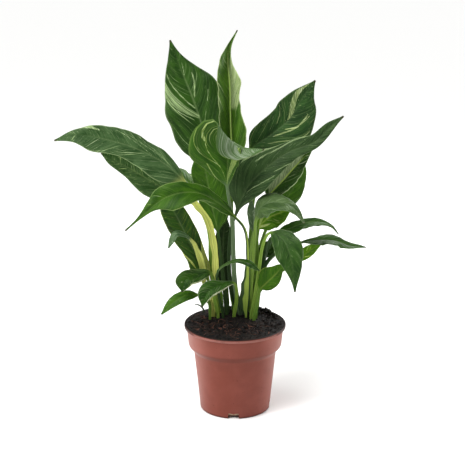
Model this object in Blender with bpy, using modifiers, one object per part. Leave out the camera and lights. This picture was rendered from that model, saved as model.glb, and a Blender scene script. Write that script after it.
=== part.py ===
"""A variegated peace lily in a plastic nursery pot.

Metres, +Z up. The origin is the middle of the pot's foot, -Y is the front and +X is the right.
Each leaf is one piece from its foot in the soil to its tip: a stem that runs on as the midrib of the blade.
"""

import math

import bmesh
import bpy
import numpy as np
from mathutils import Vector, noise

MM = 0.001
GAP = 0.3 * MM  # clearance between pieces that touch on the real plant
WELD = 0.001 * MM  # merge distance of a curve's caps

# The pot, a thin moulding. Radii are to the outside unless the name says otherwise.
POT_HEIGHT = 105 * MM
LIP_RADIUS = 60 * MM
LIP_DEPTH = 3.8 * MM
LIP_INNER_RADIUS = 58.5 * MM
LIP_ROUND = 0.6 * MM
LIP_SLOPE = 0.5 * MM  # rise of the lip's underside
BAND_TOP_RADIUS = 57.4 * MM
BAND_FOOT_RADIUS = 55.4 * MM
BAND_FOOT_Z = 81.5 * MM
SHOULDER_RADIUS = 48.8 * MM
SHOULDER_Z = 72 * MM
SHOULDER_TOP = (1.4 * MM, 3.2 * MM)  # where the shoulder begins, in and down from the band's foot
SHOULDER_FOOT = (1.6 * MM, 2.4 * MM)  # where it ends, out and up from the body's top
FOOT_RADIUS = 41.6 * MM
FOOT_CHAMFER = 1.0 * MM
POT_WALL = 1.5 * MM
FLOOR_TOP_Z = 3.6 * MM
CHANNEL_DEPTH = 2.0 * MM
CHANNEL_SLOPE = 0.5 * MM
CHANNEL_INNER_RADIUS = 20 * MM
CHANNEL_OUTER_RADIUS = 36 * MM
NOTCH_COUNT = 4  # with a drain hole between each two
NOTCH_TURN = -2.8  # degrees from the front to the first notch
NOTCH_WIDTH = 12.5 * MM
NOTCH_HEIGHT = 7 * MM
NOTCH_BEYOND = 0.5 * MM  # how far a notch's cutter reaches past the foot ring
DRAIN_RADIUS = 4 * MM
DRAIN_SIDES = 16
DRAIN_CUT = (-1 * MM, 8 * MM)
POT_STEPS = 48

# The soil, a mound a little behind the middle where the leaves stand
SOIL_RIM_Z = 104.5 * MM
SOIL_CROWN_Z = 111 * MM
SOIL_CROWN_Y = 13 * MM
SOIL_CROWN_SPREAD = 36 * MM
SOIL_LUMP = 1.5 * MM
SOIL_LUMP_SIZES = (11 * MM, 5 * MM)
SOIL_FADE_FROM = 0.85  # share of the radius where the mound and the lumps begin to fade
SOIL_RIM_MOUND = 0.4  # share of the mound that is left at the rim
SOIL_RIM_LUMPS = 0.3
SOIL_STEPS = 40
SOIL_RINGS = 9

# Leaves
BLADE_THICKNESS = 0.8 * MM
STEM_FOOT_Z = 84 * MM
STEM_CROWN_Z = 113 * MM
STEM_STEP = 22 * MM
STEM_BASE_RADIUS = 1.5 * MM  # where the stem meets the blade
STEM_TIP_RADIUS = 0.75 * MM
STEM_RUNS_INTO_BLADE = 0.22  # share of the blade's length
LINE_STEPS = 12  # steps between two points of a leaf's line
BLADE_ROW = 13 * MM
BLADE_ROWS = (7, 12)  # fewest and most
WIDE_BLADE = 7  # half-width in mm past which a blade has six columns and not four
LEAST_HALF_WIDTH = 0.4
WAVE_SHIFT = 2.1  # angle between the waves of the two margins
HOLE_CLEARANCE = 0.45 * MM
HOLE_SIDES = 8
HOLE_TOP_Z = 122 * MM

# Shading: edges steeper than this in degrees stay sharp
POT_EDGE = 35
SOIL_EDGE = 50
LEAF_EDGE = 40

DARK_GREEN = (0.035, 0.105, 0.022)
MID_GREEN = (0.060, 0.170, 0.022)
BRIGHT_GREEN = (0.110, 0.280, 0.030)
PALE_GREEN = (0.230, 0.370, 0.150)
DEAD_BROWN = (0.060, 0.055, 0.035)

# Every leaf by hand, in millimetres: foot is where it leaves the soil, stem the points that it passes and
# blade the midrib's points from base to tip. face is the way that the upper side looks, from base to tip.
# left and right are the half-widths at even steps along the midrib, seen from above with the tip ahead.
# fold is how steeply each half rises from the midrib, curl how far it turns back by the margin, in degrees.
# wave is the height of the margin's waves as a share of the half-width, and their number.
LEAVES = {
    "leaf_top_left": dict(
        foot=(-9, 30),
        radius=2.7,
        stem=[(-11, 30, 143), (-14, 30, 199), (-17, 30, 247)],
        blade=[(-25, 30, 286), (-35, 33, 324), (-49, 40, 366), (-62, 48, 397), (-75, 54, 431)],
        face=[(-2, -10, 3), (-2, -10, 4), (-3, -10, 4)],
        left=(2, 24.5, 35, 35, 36.5, 30, 21.5, 10.5, 1),
        right=(2, 19, 28, 33, 35, 31.5, 18.5, 6.5, 1),
        fold=(8, 12),
        curl=(-14, -20),
        wave=(0.05, 3),
        colour=DARK_GREEN,
    ),
    "leaf_top_centre": dict(
        foot=(-1, 28),
        radius=2.6,
        stem=[(-1, 26, 144), (-3, 26, 200), (-4, 26, 248)],
        blade=[(-2, 24, 290), (-5, 29, 330), (-6, 35, 376), (-7.5, 39, 423), (2.5, 41, 444)],
        face=[(0, -10, 2), (0, -10, 2)],
        left=(3, 17, 23, 24, 25, 26, 20, 4.5, 1),
        right=(3, 21, 27, 20, 16, 19, 7.5, 4, 1),
        fold=(62, 56),
        curl=(-8, -16),
        wave=(0.05, 3),
        colour=MID_GREEN,
    ),
    "leaf_front_centre": dict(
        foot=(6, 12),
        radius=2.9,
        stem=[(0, 6, 150), (-2, 0, 195), (-3, -12, 236)],
        blade=[(-9, -28, 277), (-8, -17, 300), (-7, -13, 327), (8, -25, 322), (32, -38, 322)],
        face=[
            (0, -9, 4), (0, -9, 4), (0, -9, 4), (0, -10, 2), (1, -10, -0.5), (1.8, -2.6, -9),
            (2.9, 4.5, -8.3), (2.4, 7, -7), (1.6, 7.8, -6),
        ],
        left=(2, 19, 34, 43, 43, 33.5, 19, 9, 1),
        right=(2, 13, 20, 24, 23, 17, 11, 6, 1),
        fold=(8, 58),
        curl=(-8, -10),
        wave=(0.04, 3),
        colour=MID_GREEN,
    ),
    "leaf_top_right": dict(
        foot=(14, 27),
        radius=2.6,
        stem=[(18, 34, 159), (19, 38, 221), (17, 41, 269)],
        blade=[(17, 43, 302), (43, 45, 323), (64, 48, 341), (80, 50, 368), (93, 50, 385)],
        face=[(1, -10, 5), (1, -10, 5)],
        left=(2, 15.5, 19.5, 19.5, 20.5, 21.5, 16, 7.5, 1),
        right=(2, 21, 27.5, 32, 33, 27, 21, 10, 1),
        fold=(14, 14),
        curl=(-10, -20),
        wave=(0.06, 3),
        colour=DARK_GREEN,
    ),
    "leaf_long_right": dict(
        foot=(4, 20),
        radius=2.5,
        stem=[(-5, 15, 146), (-7, 10, 190), (-4, 2, 222)],
        blade=[
            (3, -7, 245), (13, -8, 270), (34, -6, 293), (62, -1, 312), (90, 3, 322), (108, 6, 339.5),
            (123, 7, 351),
        ],
        face=[(-5, -10, 2), (-2, -9, 5), (0, -8, 6), (0, -9, 5), (-2, -9, 4)],
        left=(6, 21, 31, 22, 13, 12, 8.5, 6, 1),
        right=(4, 14, 20, 18, 14, 10.5, 7.5, 6, 1),
        fold=(20, 18),
        curl=(-20, -26),
        wave=(0.08, 3),
        colour=DARK_GREEN,
    ),
    "leaf_pale_right": dict(
        foot=(20, 19),
        radius=2.3,
        stem=[(23, 19, 170), (28, 14, 221)],
        blade=[(37, 8, 254), (55, 10, 275), (72, 13, 294), (89, 16, 311)],
        face=[(-2, -8, 6), (-2, -8, 6)],
        left=(2, 13, 16, 16, 13, 10, 7, 5, 1),
        right=(2, 12, 16, 18, 18, 17, 11, 6, 1),
        fold=(28, 34),
        curl=(-20, -20),
        wave=(0.05, 3),
        colour=PALE_GREEN,
    ),
    "leaf_round_right": dict(
        foot=(21, 33),
        radius=2.3,
        stem=[(27, 39, 173), (40, 39, 216)],
        blade=[(56, 34, 241), (67, 34, 258), (73, 38, 275), (75, 42, 296)],
        face=[(0, -10, 3), (0, -10, 3)],
        left=(2, 17, 19, 18, 17, 14, 10, 6, 1),
        right=(2, 11, 13, 13, 12, 11, 10, 7, 1),
        fold=(10, 10),
        curl=(-10, -20),
        wave=(0.04, 2),
        colour=MID_GREEN,
    ),
    "leaf_drooping_right": dict(
        foot=(19, 11),
        radius=2.1,
        stem=[(21, 10, 166), (23, -2, 212)],
        blade=[
            (24, -10, 234), (28, -15, 249), (42, -20, 257), (59, -25, 256), (70, -29, 249),
            (78, -32, 236),
        ],
        face=[(-4, -9, 3), (-1, -8, 7), (1, -5, 10), (1, -5, 10)],
        left=(2, 3, 10, 13, 11, 8, 6, 3, 1),
        right=(3, 11, 16, 17, 15, 12, 9, 5, 1),
        fold=(15, 15),
        curl=(-20, -20),
        wave=(0.07, 2),
        colour=DARK_GREEN,
    ),
    "leaf_bright_right": dict(
        foot=(24.5, 7.5),
        radius=2.0,
        stem=[(25, 8, 140), (26, 12, 170), (26, 10, 195)],
        blade=[(27, 4, 219), (38, 4, 232), (52, 5, 238), (65, 7, 242)],
        face=[(0, -10, 2), (0, -10, 2)],
        left=(2, 7, 10, 10, 10, 9, 7, 4, 1),
        right=(3, 11, 13, 14, 15, 13, 11, 6, 1),
        fold=(15, 15),
        curl=(-20, -20),
        wave=(0.04, 2),
        colour=BRIGHT_GREEN,
    ),
    "leaf_arched_right": dict(
        foot=(26, 20),
        radius=2.0,
        stem=[(32, 18, 165), (40, 8, 199)],
        blade=[
            (47, -3, 215), (63, -8, 223), (81, -10, 230), (100, -10, 231), (111, -9, 226),
            (119, -8, 216),
        ],
        face=[(0, -4, 10), (0, -4, 10)],
        left=(2, 7, 9, 8.5, 7.5, 6, 3.5, 2, 1),
        right=(2, 7, 12, 14, 12, 9, 6, 3, 1),
        fold=(18, 18),
        curl=(-20, -20),
        wave=(0.06, 2),
        colour=DARK_GREEN,
    ),
    "leaf_hanging_front": dict(
        foot=(19.5, 4.2),
        radius=2.2,
        stem=[(27, 1, 163), (32, -13, 205)],
        blade=[(40, -28, 224), (54, -43, 219), (61, -54, 205), (65, -60, 187), (67, -62, 164)],
        face=[(2, -10, 9), (2, -10, 5), (2, -10, 2)],
        left=(2, 9, 15, 17, 16, 12, 8, 4, 1),
        right=(2, 9, 14, 16, 16, 12, 7, 3, 1),
        fold=(12, 16),
        curl=(-15, -25),
        wave=(0.07, 3),
        colour=DARK_GREEN,
    ),
    "leaf_far_right": dict(
        foot=(25, 13.5),
        radius=2.0,
        stem=[(26.4, 12.7, 143), (39, 10, 178), (56, 9, 193)],
        blade=[(76, 9, 201), (97, 10, 204), (117, 10, 203), (134, 8, 197.5), (153, 6, 196)],
        face=[(0, -3.5, 10), (0, -3.5, 10)],
        left=(2, 3, 5, 10, 9, 5.5, 5.5, 4.5, 1),
        right=(2, 7, 11, 14, 14, 11, 7, 4, 1),
        fold=(22, 18),
        curl=(-20, -20),
        wave=(0.12, 2),
        colour=DARK_GREEN,
    ),
    "leaf_tucked_right": dict(
        foot=(25.5, 28),
        radius=1.8,
        stem=[(29, 27, 134), (43, 25, 150), (58, 24, 163)],
        blade=[(72, 23, 174), (82, 24, 181), (91, 26, 188), (103, 28, 195)],
        face=[(0, -8, 6), (0, -8, 6)],
        left=(2, 7, 8, 6.5, 4, 1),
        right=(2, 5, 6.5, 6.5, 4, 1),
        fold=(15, 15),
        curl=(-20, -20),
        wave=(0.04, 2),
        colour=BRIGHT_GREEN,
    ),
    "leaf_small_round": dict(
        foot=(22.5, -1.5),
        radius=1.9,
        stem=[(27, -2, 134)],
        blade=[(29, -3, 147), (37, -6, 157), (47, -9, 168), (57, -11, 181)],
        face=[(0, -10, 3), (0, -10, 3)],
        left=(2, 8, 12, 15, 15, 13, 9, 6, 1),
        right=(2, 7, 10, 11, 11, 9, 6, 3, 1),
        fold=(10, 14),
        curl=(-15, -20),
        wave=(0.04, 2),
        colour=BRIGHT_GREEN,
    ),
    "leaf_small_inner": dict(
        foot=(20, 26),
        radius=1.8,
        stem=[(23, 25, 149), (26, 23, 169)],
        blade=[(28.5, 20, 180), (38, 19, 189), (50, 19, 197)],
        face=[(0, -10, 3), (0, -10, 3)],
        left=(2, 8, 10, 8, 1),
        right=(2, 7, 8, 6, 1),
        fold=(15, 15),
        curl=(-20, -20),
        wave=(0.04, 2),
        colour=DARK_GREEN,
    ),
    "leaf_thin_across": dict(
        foot=(-14, 4),
        radius=1.5,
        stem=[(-20, -3, 146)],
        blade=[(-20, -12, 173), (-11, -16, 182), (2, -18, 187), (16, -18, 184), (28, -18, 175)],
        face=[(0, -5, 10), (0, -5, 10)],
        left=(1.5, 2, 3, 4, 4.5, 1),
        right=(1.5, 2, 3, 5, 6, 1),
        fold=(15, 15),
        curl=(-20, -20),
        wave=(0.04, 2),
        colour=DARK_GREEN,
    ),
    "leaf_front_left": dict(
        foot=(13, 6),
        radius=1.9,
        stem=[(15, 2, 143), (15, -7, 195), (11, -14, 224)],
        blade=[
            (1, -24, 240), (-18, -34, 259), (-36, -42, 272), (-55, -49, 276), (-78, -55, 271),
            (-100, -62, 255), (-121, -67, 237),
        ],
        face=[(0, -5, 8), (-1, -6, 8), (-2, -8, 6), (-4, -8, 4)],
        left=(2, 10, 12, 13, 20, 20, 6, 2, 1),
        right=(2, 7, 9, 11, 14, 14, 8, 2, 1),
        fold=(20, 25),
        curl=(-20, -25),
        wave=(0.05, 3),
        colour=DARK_GREEN,
    ),
    "leaf_upper_left": dict(
        foot=(-26, 12),
        radius=2.8,
        stem=[(-24, 4, 144), (-22.5, 0, 187), (-31, -6, 232), (-46, -8, 254)],
        blade=[
            (-56, -5, 274), (-76, 0, 294), (-109, 6, 312), (-148, 8, 324), (-182, 8, 329),
            (-206, 6, 323),
        ],
        face=[(-1, -8, 6), (-1, -8, 6)],
        left=(2, 19, 23, 20, 17, 17.5, 18, 9, 1),
        right=(2, 7.5, 12.5, 14, 17, 17, 13, 6, 1),
        fold=(16, 18),
        curl=(-20, -25),
        wave=(0.08, 4),
        colour=DARK_GREEN,
    ),
    "leaf_lower_left": dict(
        foot=(-18, 21),
        radius=2.2,
        stem=[(-26.5, 18, 148), (-29, 15, 187), (-29.5, 13, 207), (-34, 12, 226), (-43, 11, 243)],
        blade=[(-64, 15, 255), (-93, 22, 269), (-124, 28, 286), (-156, 32, 303)],
        face=[(-1, -9, 5), (-1, -9, 5)],
        left=(3, 14, 17.5, 18.5, 15.5, 11.5, 9.5, 7, 1),
        right=(3, 8, 12, 15, 16, 15, 12, 8, 1),
        fold=(14, 14),
        curl=(-20, -25),
        wave=(0.06, 3),
        colour=DARK_GREEN,
    ),
    "leaf_tall_left": dict(
        foot=(-24, 20),
        radius=2.2,
        stem=[(-28, 17, 132)],
        blade=[(-32, 14, 154), (-43, 12, 180), (-56, 10, 207), (-67, 6, 232), (-83, 0, 264)],
        face=[(-2, -10, 2), (-2, -10, 2)],
        left=(3, 14, 13.5, 13.5, 16, 16.5, 15.5, 12, 1),
        right=(3, 9, 11, 13.5, 15, 15, 13.5, 10, 1),
        fold=(14, 14),
        curl=(-20, -25),
        wave=(0.06, 3),
        colour=DARK_GREEN,
    ),
    "leaf_narrow_left": dict(
        foot=(-27, 27),
        radius=1.5,
        stem=[(-29.5, 24.5, 126), (-35.5, 15, 141), (-39.5, 4, 174.5), (-43.5, 2, 189)],
        blade=[(-51, 0, 207), (-60, -4, 214.5), (-68, -7, 216), (-77, -10, 200)],
        face=[(0, -5, 10), (0, -5, 10)],
        left=(1.5, 4, 5, 4, 1),
        right=(1.5, 4, 5, 4, 1),
        fold=(15, 15),
        curl=(-20, -20),
        wave=(0.04, 2),
        colour=MID_GREEN,
    ),
    "leaf_small_left": dict(
        foot=(-20, 6),
        radius=1.8,
        stem=[(-25, 0, 139)],
        blade=[(-28, -8, 169), (-45, -14, 168), (-57, -20, 165), (-61, -24, 151)],
        face=[(0, -8, 7), (0, -8, 7)],
        left=(2, 8, 10, 11, 9, 1),
        right=(2, 6, 8, 10, 10, 1),
        fold=(20, 20),
        curl=(-25, -25),
        wave=(0.06, 2),
        colour=DARK_GREEN,
    ),
    "leaf_low_left": dict(
        foot=(-29.5, 6),
        radius=1.6,
        stem=[(-30.5, 4, 128), (-36, 2, 139)],
        blade=[(-43, -1, 140), (-57, -9, 142), (-72, -13, 135), (-86, -16, 121)],
        face=[(0, -8, 7), (0, -8, 7)],
        left=(2, 6, 7, 6.5, 4, 1),
        right=(2, 6, 7, 7, 4.5, 1),
        fold=(12, 15),
        curl=(-20, -20),
        wave=(0.05, 2),
        colour=DARK_GREEN,
    ),
    "leaf_small_front": dict(
        foot=(-1, 6),
        radius=2.0,
        stem=[(2, -1, 137)],
        blade=[(-1, -12, 158), (-17, -22, 159), (-31, -28, 153), (-38, -34, 137)],
        face=[(0, -8, 7), (0, -8, 7)],
        left=(2, 5, 8, 9, 6, 1),
        right=(2, 3, 7, 11, 9, 1),
        fold=(16, 25),
        curl=(-25, -25),
        wave=(0.05, 2),
        colour=DARK_GREEN,
    ),
    "leaf_upright_inner": dict(
        foot=(12, 14),
        radius=2.0,
        stem=[(13, 13, 151), (18, 8, 187)],
        blade=[(21, 7, 214), (21, 6, 231), (19.5, 5, 243), (19, 4, 255)],
        face=[(-6, -10, 1), (-6, -10, 1)],
        left=(2, 5.5, 6.5, 5, 1),
        right=(2, 5, 6, 5, 1),
        fold=(25, 25),
        curl=(-10, -10),
        wave=(0.04, 2),
        colour=PALE_GREEN,
    ),
    "leaf_mid_centre": dict(
        foot=(-10, 12),
        radius=2.3,
        stem=[(-13, 14, 146), (-17, 13, 184)],
        blade=[(-20, 12, 213), (-26, 15, 238), (-31, 17, 267), (-36, 16, 297), (-35, 16, 315)],
        face=[(0, -10, 2), (0, -10, 2)],
        left=(2, 8, 12, 14, 15, 16.5, 16, 9, 1),
        right=(2, 15, 20, 22, 21, 19, 15, 9, 1),
        fold=(12, 12),
        curl=(-15, -20),
        wave=(0.05, 3),
        colour=MID_GREEN,
    ),
    "leaf_dark_inner": dict(
        foot=(-9, 21),
        radius=2.0,
        stem=[(-10, 22, 121)],
        blade=[(-12, 23, 137), (-14, 24, 168), (-14, 24, 200), (-11, 24, 232)],
        face=[(0, -10, 2), (0, -10, 2)],
        left=(2, 7, 9, 10, 8, 1),
        right=(2, 7, 9, 10, 8, 1),
        fold=(14, 14),
        curl=(-15, -20),
        wave=(0.04, 2),
        colour=DARK_GREEN,
    ),
    "leaf_back_centre": dict(
        foot=(-2, 37),
        radius=2.3,
        stem=[(-8, 50, 154), (-11, 57, 203)],
        blade=[(-13, 63, 233), (-18, 85, 249), (-23, 108, 255), (-27, 130, 247)],
        face=[(0, -2, 10), (0, 2, 10)],
        left=(2, 16, 20, 18, 9, 1),
        right=(2, 16, 20, 18, 9, 1),
        fold=(18, 18),
        curl=(-25, -25),
        wave=(0.06, 3),
        colour=DARK_GREEN,
    ),
    "leaf_back_right": dict(
        foot=(6, 35),
        radius=2.3,
        stem=[(16, 50, 161), (20, 57, 216)],
        blade=[(25, 63, 247), (40, 82, 258), (58, 104, 263), (75, 122, 259)],
        face=[(0, -2, 10), (0, 2, 10)],
        left=(2, 14, 18, 16, 8, 1),
        right=(2, 14, 18, 16, 8, 1),
        fold=(18, 18),
        curl=(-25, -25),
        wave=(0.06, 3),
        colour=DARK_GREEN,
    ),
    "leaf_back_left": dict(
        foot=(-16, 33),
        radius=2.3,
        stem=[(-22, 46, 158), (-28, 52, 205)],
        blade=[(-37, 58, 236), (-54, 77, 254), (-77, 97, 267), (-100, 114, 272)],
        face=[(0, -2, 10), (0, 2, 10)],
        left=(2, 13, 17, 15, 8, 1),
        right=(2, 13, 17, 15, 8, 1),
        fold=(18, 18),
        curl=(-25, -25),
        wave=(0.06, 3),
        colour=DARK_GREEN,
    ),
}


# What is left of dead shoots at the back left of the soil: the foot, and points above it with their radii
STUBS = {
    "stub_bent": dict(
        foot=(-38, 33),
        radius=1.2,
        route=[(-38, 33, 109, 1.2), (-40, 33.5, 112.5, 1.1), (-44, 34.5, 115, 0.9), (-49, 35, 115, 0.6)],
    ),
    "stub_dark": dict(
        foot=(-29.5, 40),
        radius=1.4,
        route=[(-29.5, 40, 108, 1.3), (-31.3, 40.5, 113, 1.2), (-34, 41, 118, 1.0)],
    ),
}


def clear_scene():
    for obj in list(bpy.data.objects):
        bpy.data.objects.remove(obj, do_unlink=True)


def new_collection(name):
    coll = bpy.data.collections.new(name)
    bpy.context.scene.collection.children.link(coll)
    return coll


def new_material(name, colour, roughness):
    mat = bpy.data.materials.new(name)
    mat.use_nodes = True
    shader = mat.node_tree.nodes["Principled BSDF"]
    shader.inputs["Base Color"].default_value = (*colour, 1)
    shader.inputs["Roughness"].default_value = roughness
    shader.inputs["Metallic"].default_value = 0
    return mat


def new_object(name, mesh, coll, mat=None):
    obj = bpy.data.objects.new(name, mesh)
    coll.objects.link(obj)
    if mat:
        mesh.materials.append(mat)
    return obj


def make_cutter(obj):
    obj.hide_render = True
    obj.display_type = "WIRE"


def cut(target, cutter, operation="DIFFERENCE", solver="EXACT"):
    mod = target.modifiers.new(cutter.name, "BOOLEAN")
    mod.operation = operation
    mod.object = cutter
    mod.solver = solver


def applied_mesh(obj):
    """The object's mesh as its modifiers leave it, with the seams of curve caps closed."""
    depsgraph = bpy.context.evaluated_depsgraph_get()
    mesh = bpy.data.meshes.new_from_object(obj.evaluated_get(depsgraph))
    bm = bmesh.new()
    bm.from_mesh(mesh)
    bmesh.ops.remove_doubles(bm, verts=bm.verts, dist=WELD)
    bm.to_mesh(mesh)
    bm.free()
    return mesh


def shade_round(mesh, degrees):
    mesh.shade_smooth()
    mesh.set_sharp_from_angle(angle=math.radians(degrees))


def smoothstep(low, high, x):
    t = min(max((x - low) / (high - low), 0), 1)
    return t * t * (3 - 2 * t)


# The pot


def wall_profile():
    """The outside of the pot from the lip down to the foot, as (radius, z)."""
    lip_foot = POT_HEIGHT - LIP_DEPTH
    return [
        (LIP_RADIUS - LIP_ROUND, POT_HEIGHT),
        (LIP_RADIUS, POT_HEIGHT - LIP_ROUND),
        (LIP_RADIUS, lip_foot),
        (BAND_TOP_RADIUS, lip_foot - LIP_SLOPE),
        (BAND_FOOT_RADIUS, BAND_FOOT_Z),
        (BAND_FOOT_RADIUS - SHOULDER_TOP[0], BAND_FOOT_Z - SHOULDER_TOP[1]),
        (SHOULDER_RADIUS + SHOULDER_FOOT[0], SHOULDER_Z + SHOULDER_FOOT[1]),
        (SHOULDER_RADIUS, SHOULDER_Z),
        (FOOT_RADIUS, FOOT_CHAMFER),
        (FOOT_RADIUS - FOOT_CHAMFER, 0),
    ]


def foot_profile():
    """The underside from the foot ring to the axis: a channel round a flat middle pad."""
    return [
        (CHANNEL_OUTER_RADIUS, 0),
        (CHANNEL_OUTER_RADIUS - CHANNEL_SLOPE, CHANNEL_DEPTH),
        (CHANNEL_INNER_RADIUS + CHANNEL_SLOPE, CHANNEL_DEPTH),
        (CHANNEL_INNER_RADIUS, 0),
        (0, 0),
    ]


def inner_radius(z):
    """The inside radius of the pot's wall at a height, below the lip."""
    heights = [0, SHOULDER_Z, BAND_FOOT_Z, POT_HEIGHT]
    radii = [FOOT_RADIUS, SHOULDER_RADIUS, BAND_FOOT_RADIUS, BAND_TOP_RADIUS]
    return float(np.interp(z, heights, radii)) - POT_WALL


def ledge():
    """The step that the lip makes inside: its inner corner and its outer one."""
    outer_z = POT_HEIGHT - LIP_DEPTH + POT_WALL
    inner_z = outer_z - LIP_SLOPE
    return (inner_radius(inner_z), inner_z), (LIP_INNER_RADIUS, outer_z)


def inside_profile():
    """The inside from the middle of the floor up to the lip."""
    wall = [(inner_radius(z), z) for z in (FLOOR_TOP_Z, SHOULDER_Z, BAND_FOOT_Z)]
    lip = [(LIP_INNER_RADIUS, POT_HEIGHT - LIP_ROUND), (LIP_INNER_RADIUS + LIP_ROUND, POT_HEIGHT)]
    return [(0, FLOOR_TOP_Z), *wall, *ledge(), *lip]


def turned(name, profile, steps, coll, mat):
    mesh = bpy.data.meshes.new(name)
    points = [(radius, 0, z) for radius, z in profile]
    mesh.from_pydata(points, [(i, i + 1) for i in range(len(points) - 1)], [])
    obj = new_object(name, mesh, coll, mat)
    screw = obj.modifiers.new("Turn", "SCREW")
    screw.steps = steps
    screw.render_steps = steps
    screw.use_merge_vertices = True
    screw.merge_threshold = 0.05 * MM
    return obj


def box_cutter(name, size, place, turn, coll):
    bpy.ops.mesh.primitive_cube_add(size=1)
    obj = bpy.context.object
    obj.name = name
    for vert in obj.data.vertices:
        vert.co = Vector(a * b for a, b in zip(vert.co, size)) + Vector(place)
    obj.rotation_euler.z = turn
    move_to(obj, coll)
    make_cutter(obj)
    return obj


def cylinder_cutter(name, radius, low, high, place, sides, coll):
    bpy.ops.mesh.primitive_cylinder_add(
        vertices=sides, radius=radius, depth=high - low, location=(*place, (low + high) / 2)
    )
    obj = bpy.context.object
    obj.name = name
    move_to(obj, coll)
    make_cutter(obj)
    return obj


def move_to(obj, coll):
    for old in list(obj.users_collection):
        old.objects.unlink(obj)
    coll.objects.link(obj)


def ring_place(radius, turn):
    """A place at a radius, turned from the front."""
    return radius * math.sin(turn), -radius * math.cos(turn)


def make_pot(coll, cutters):
    mat = new_material("terracotta_plastic", (0.30, 0.085, 0.055), 0.45)
    pot = turned("pot", inside_profile() + wall_profile() + foot_profile(), POT_STEPS, coll, mat)
    notch_depth = FOOT_RADIUS - CHANNEL_OUTER_RADIUS + 2 * NOTCH_BEYOND
    notch_radius = (FOOT_RADIUS + CHANNEL_OUTER_RADIUS) / 2
    drain_radius = (CHANNEL_INNER_RADIUS + CHANNEL_OUTER_RADIUS) / 2
    for i in range(NOTCH_COUNT):
        turn = math.radians(NOTCH_TURN) + math.tau * i / NOTCH_COUNT
        size = (NOTCH_WIDTH, notch_depth, 2 * NOTCH_HEIGHT)
        notch = box_cutter(f"notch_{i + 1}", size, (*ring_place(notch_radius, turn), 0), turn, cutters)
        cut(pot, notch)
        place = ring_place(drain_radius, turn + math.pi / NOTCH_COUNT)
        drain = cylinder_cutter(f"drain_{i + 1}", DRAIN_RADIUS, *DRAIN_CUT, place, DRAIN_SIDES, cutters)
        cut(pot, drain)
    pot.data = applied_mesh(pot)
    pot.modifiers.clear()
    shade_round(pot.data, POT_EDGE)


# The soil


def soil_height(x, y):
    """The height of the soil's surface: level at the rim, a mound at the crown, and lumps."""
    from_crown = math.hypot(x, y - SOIL_CROWN_Y)
    mound = (SOIL_CROWN_Z - SOIL_RIM_Z) * math.exp(-((from_crown / SOIL_CROWN_SPREAD) ** 2))
    large, small = SOIL_LUMP_SIZES
    lumps = noise.noise(Vector((x, y, 0)) / large) + 0.5 * noise.noise(Vector((x, y, small)) / small)
    fade = 1 - smoothstep(SOIL_FADE_FROM, 1.0, math.hypot(x, y) / LIP_INNER_RADIUS)
    mound *= SOIL_RIM_MOUND + (1 - SOIL_RIM_MOUND) * fade
    lumps *= SOIL_RIM_LUMPS + (1 - SOIL_RIM_LUMPS) * fade
    return SOIL_RIM_Z + mound + SOIL_LUMP * lumps


def soil_profile():
    """The soil from its middle out to the lip, down over the ledge and along the wall to the floor."""
    edge = LIP_INNER_RADIUS - GAP
    top = [(edge * i / SOIL_RINGS, SOIL_RIM_Z) for i in range(SOIL_RINGS + 1)]
    inner, outer = ledge()
    over_ledge = [(edge, outer[1] + GAP), (inner[0] - GAP, inner[1] + GAP)]
    heights = [BAND_FOOT_Z, SHOULDER_Z, FLOOR_TOP_Z + GAP]
    side = [(inner_radius(z) - GAP, z) for z in heights]
    return top + over_ledge + side + [(0, FLOOR_TOP_Z + GAP)]


def cut_hole(soil, name, foot, radius, cutters):
    """A plain hole in the soil for a stem or a stub."""
    around = (radius * MM + HOLE_CLEARANCE) / math.cos(math.pi / HOLE_SIDES)
    place = Vector(foot) * MM
    low = STEM_FOOT_Z - GAP
    cut(soil, cylinder_cutter("hole_" + name, around, low, HOLE_TOP_Z, place, HOLE_SIDES, cutters))


def make_soil(coll, cutters):
    mat = new_material("peat", (0.018, 0.012, 0.009), 0.95)
    soil = turned("soil", soil_profile(), SOIL_STEPS, coll, mat)
    soil.data = applied_mesh(soil)
    soil.modifiers.clear()
    for vert in soil.data.vertices:
        if vert.co.z > SOIL_RIM_Z - GAP:
            vert.co.z = soil_height(vert.co.x, vert.co.y)
    for name, piece in {**LEAVES, **STUBS}.items():
        cut_hole(soil, name, piece["foot"], piece["radius"], cutters)
    soil.data = applied_mesh(soil)
    soil.modifiers.clear()
    shade_round(soil.data, SOIL_EDGE)


# The leaves


def curve_through(points, per_span):
    """A smooth line through the points: centripetal Catmull-Rom, with per_span steps between each two."""
    points = [np.array(p, float) for p in points]
    points = [2 * points[0] - points[1]] + points + [2 * points[-1] - points[-2]]
    line = []
    for p0, p1, p2, p3 in zip(points, points[1:], points[2:], points[3:]):
        t0 = 0
        t1 = t0 + math.sqrt(np.linalg.norm(p1 - p0))
        t2 = t1 + math.sqrt(np.linalg.norm(p2 - p1))
        t3 = t2 + math.sqrt(np.linalg.norm(p3 - p2))
        for t in np.linspace(t1, t2, per_span, endpoint=False):
            a1 = ((t1 - t) * p0 + (t - t0) * p1) / (t1 - t0)
            a2 = ((t2 - t) * p1 + (t - t1) * p2) / (t2 - t1)
            a3 = ((t3 - t) * p2 + (t - t2) * p3) / (t3 - t2)
            b1 = ((t2 - t) * a1 + (t - t0) * a2) / (t2 - t0)
            b2 = ((t3 - t) * a2 + (t - t1) * a3) / (t3 - t1)
            line.append(((t2 - t) * b1 + (t - t1) * b2) / (t2 - t1))
    line.append(points[-2])
    return np.array(line)


def along(line, count):
    """count points spread evenly along a line, and its length."""
    steps = np.linalg.norm(np.diff(line, axis=0), axis=1)
    reach = np.concatenate([[0], np.cumsum(steps)])
    places = np.linspace(0, reach[-1], count)
    return np.stack([np.interp(places, reach, line[:, k]) for k in range(3)], axis=1), reach[-1]


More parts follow.
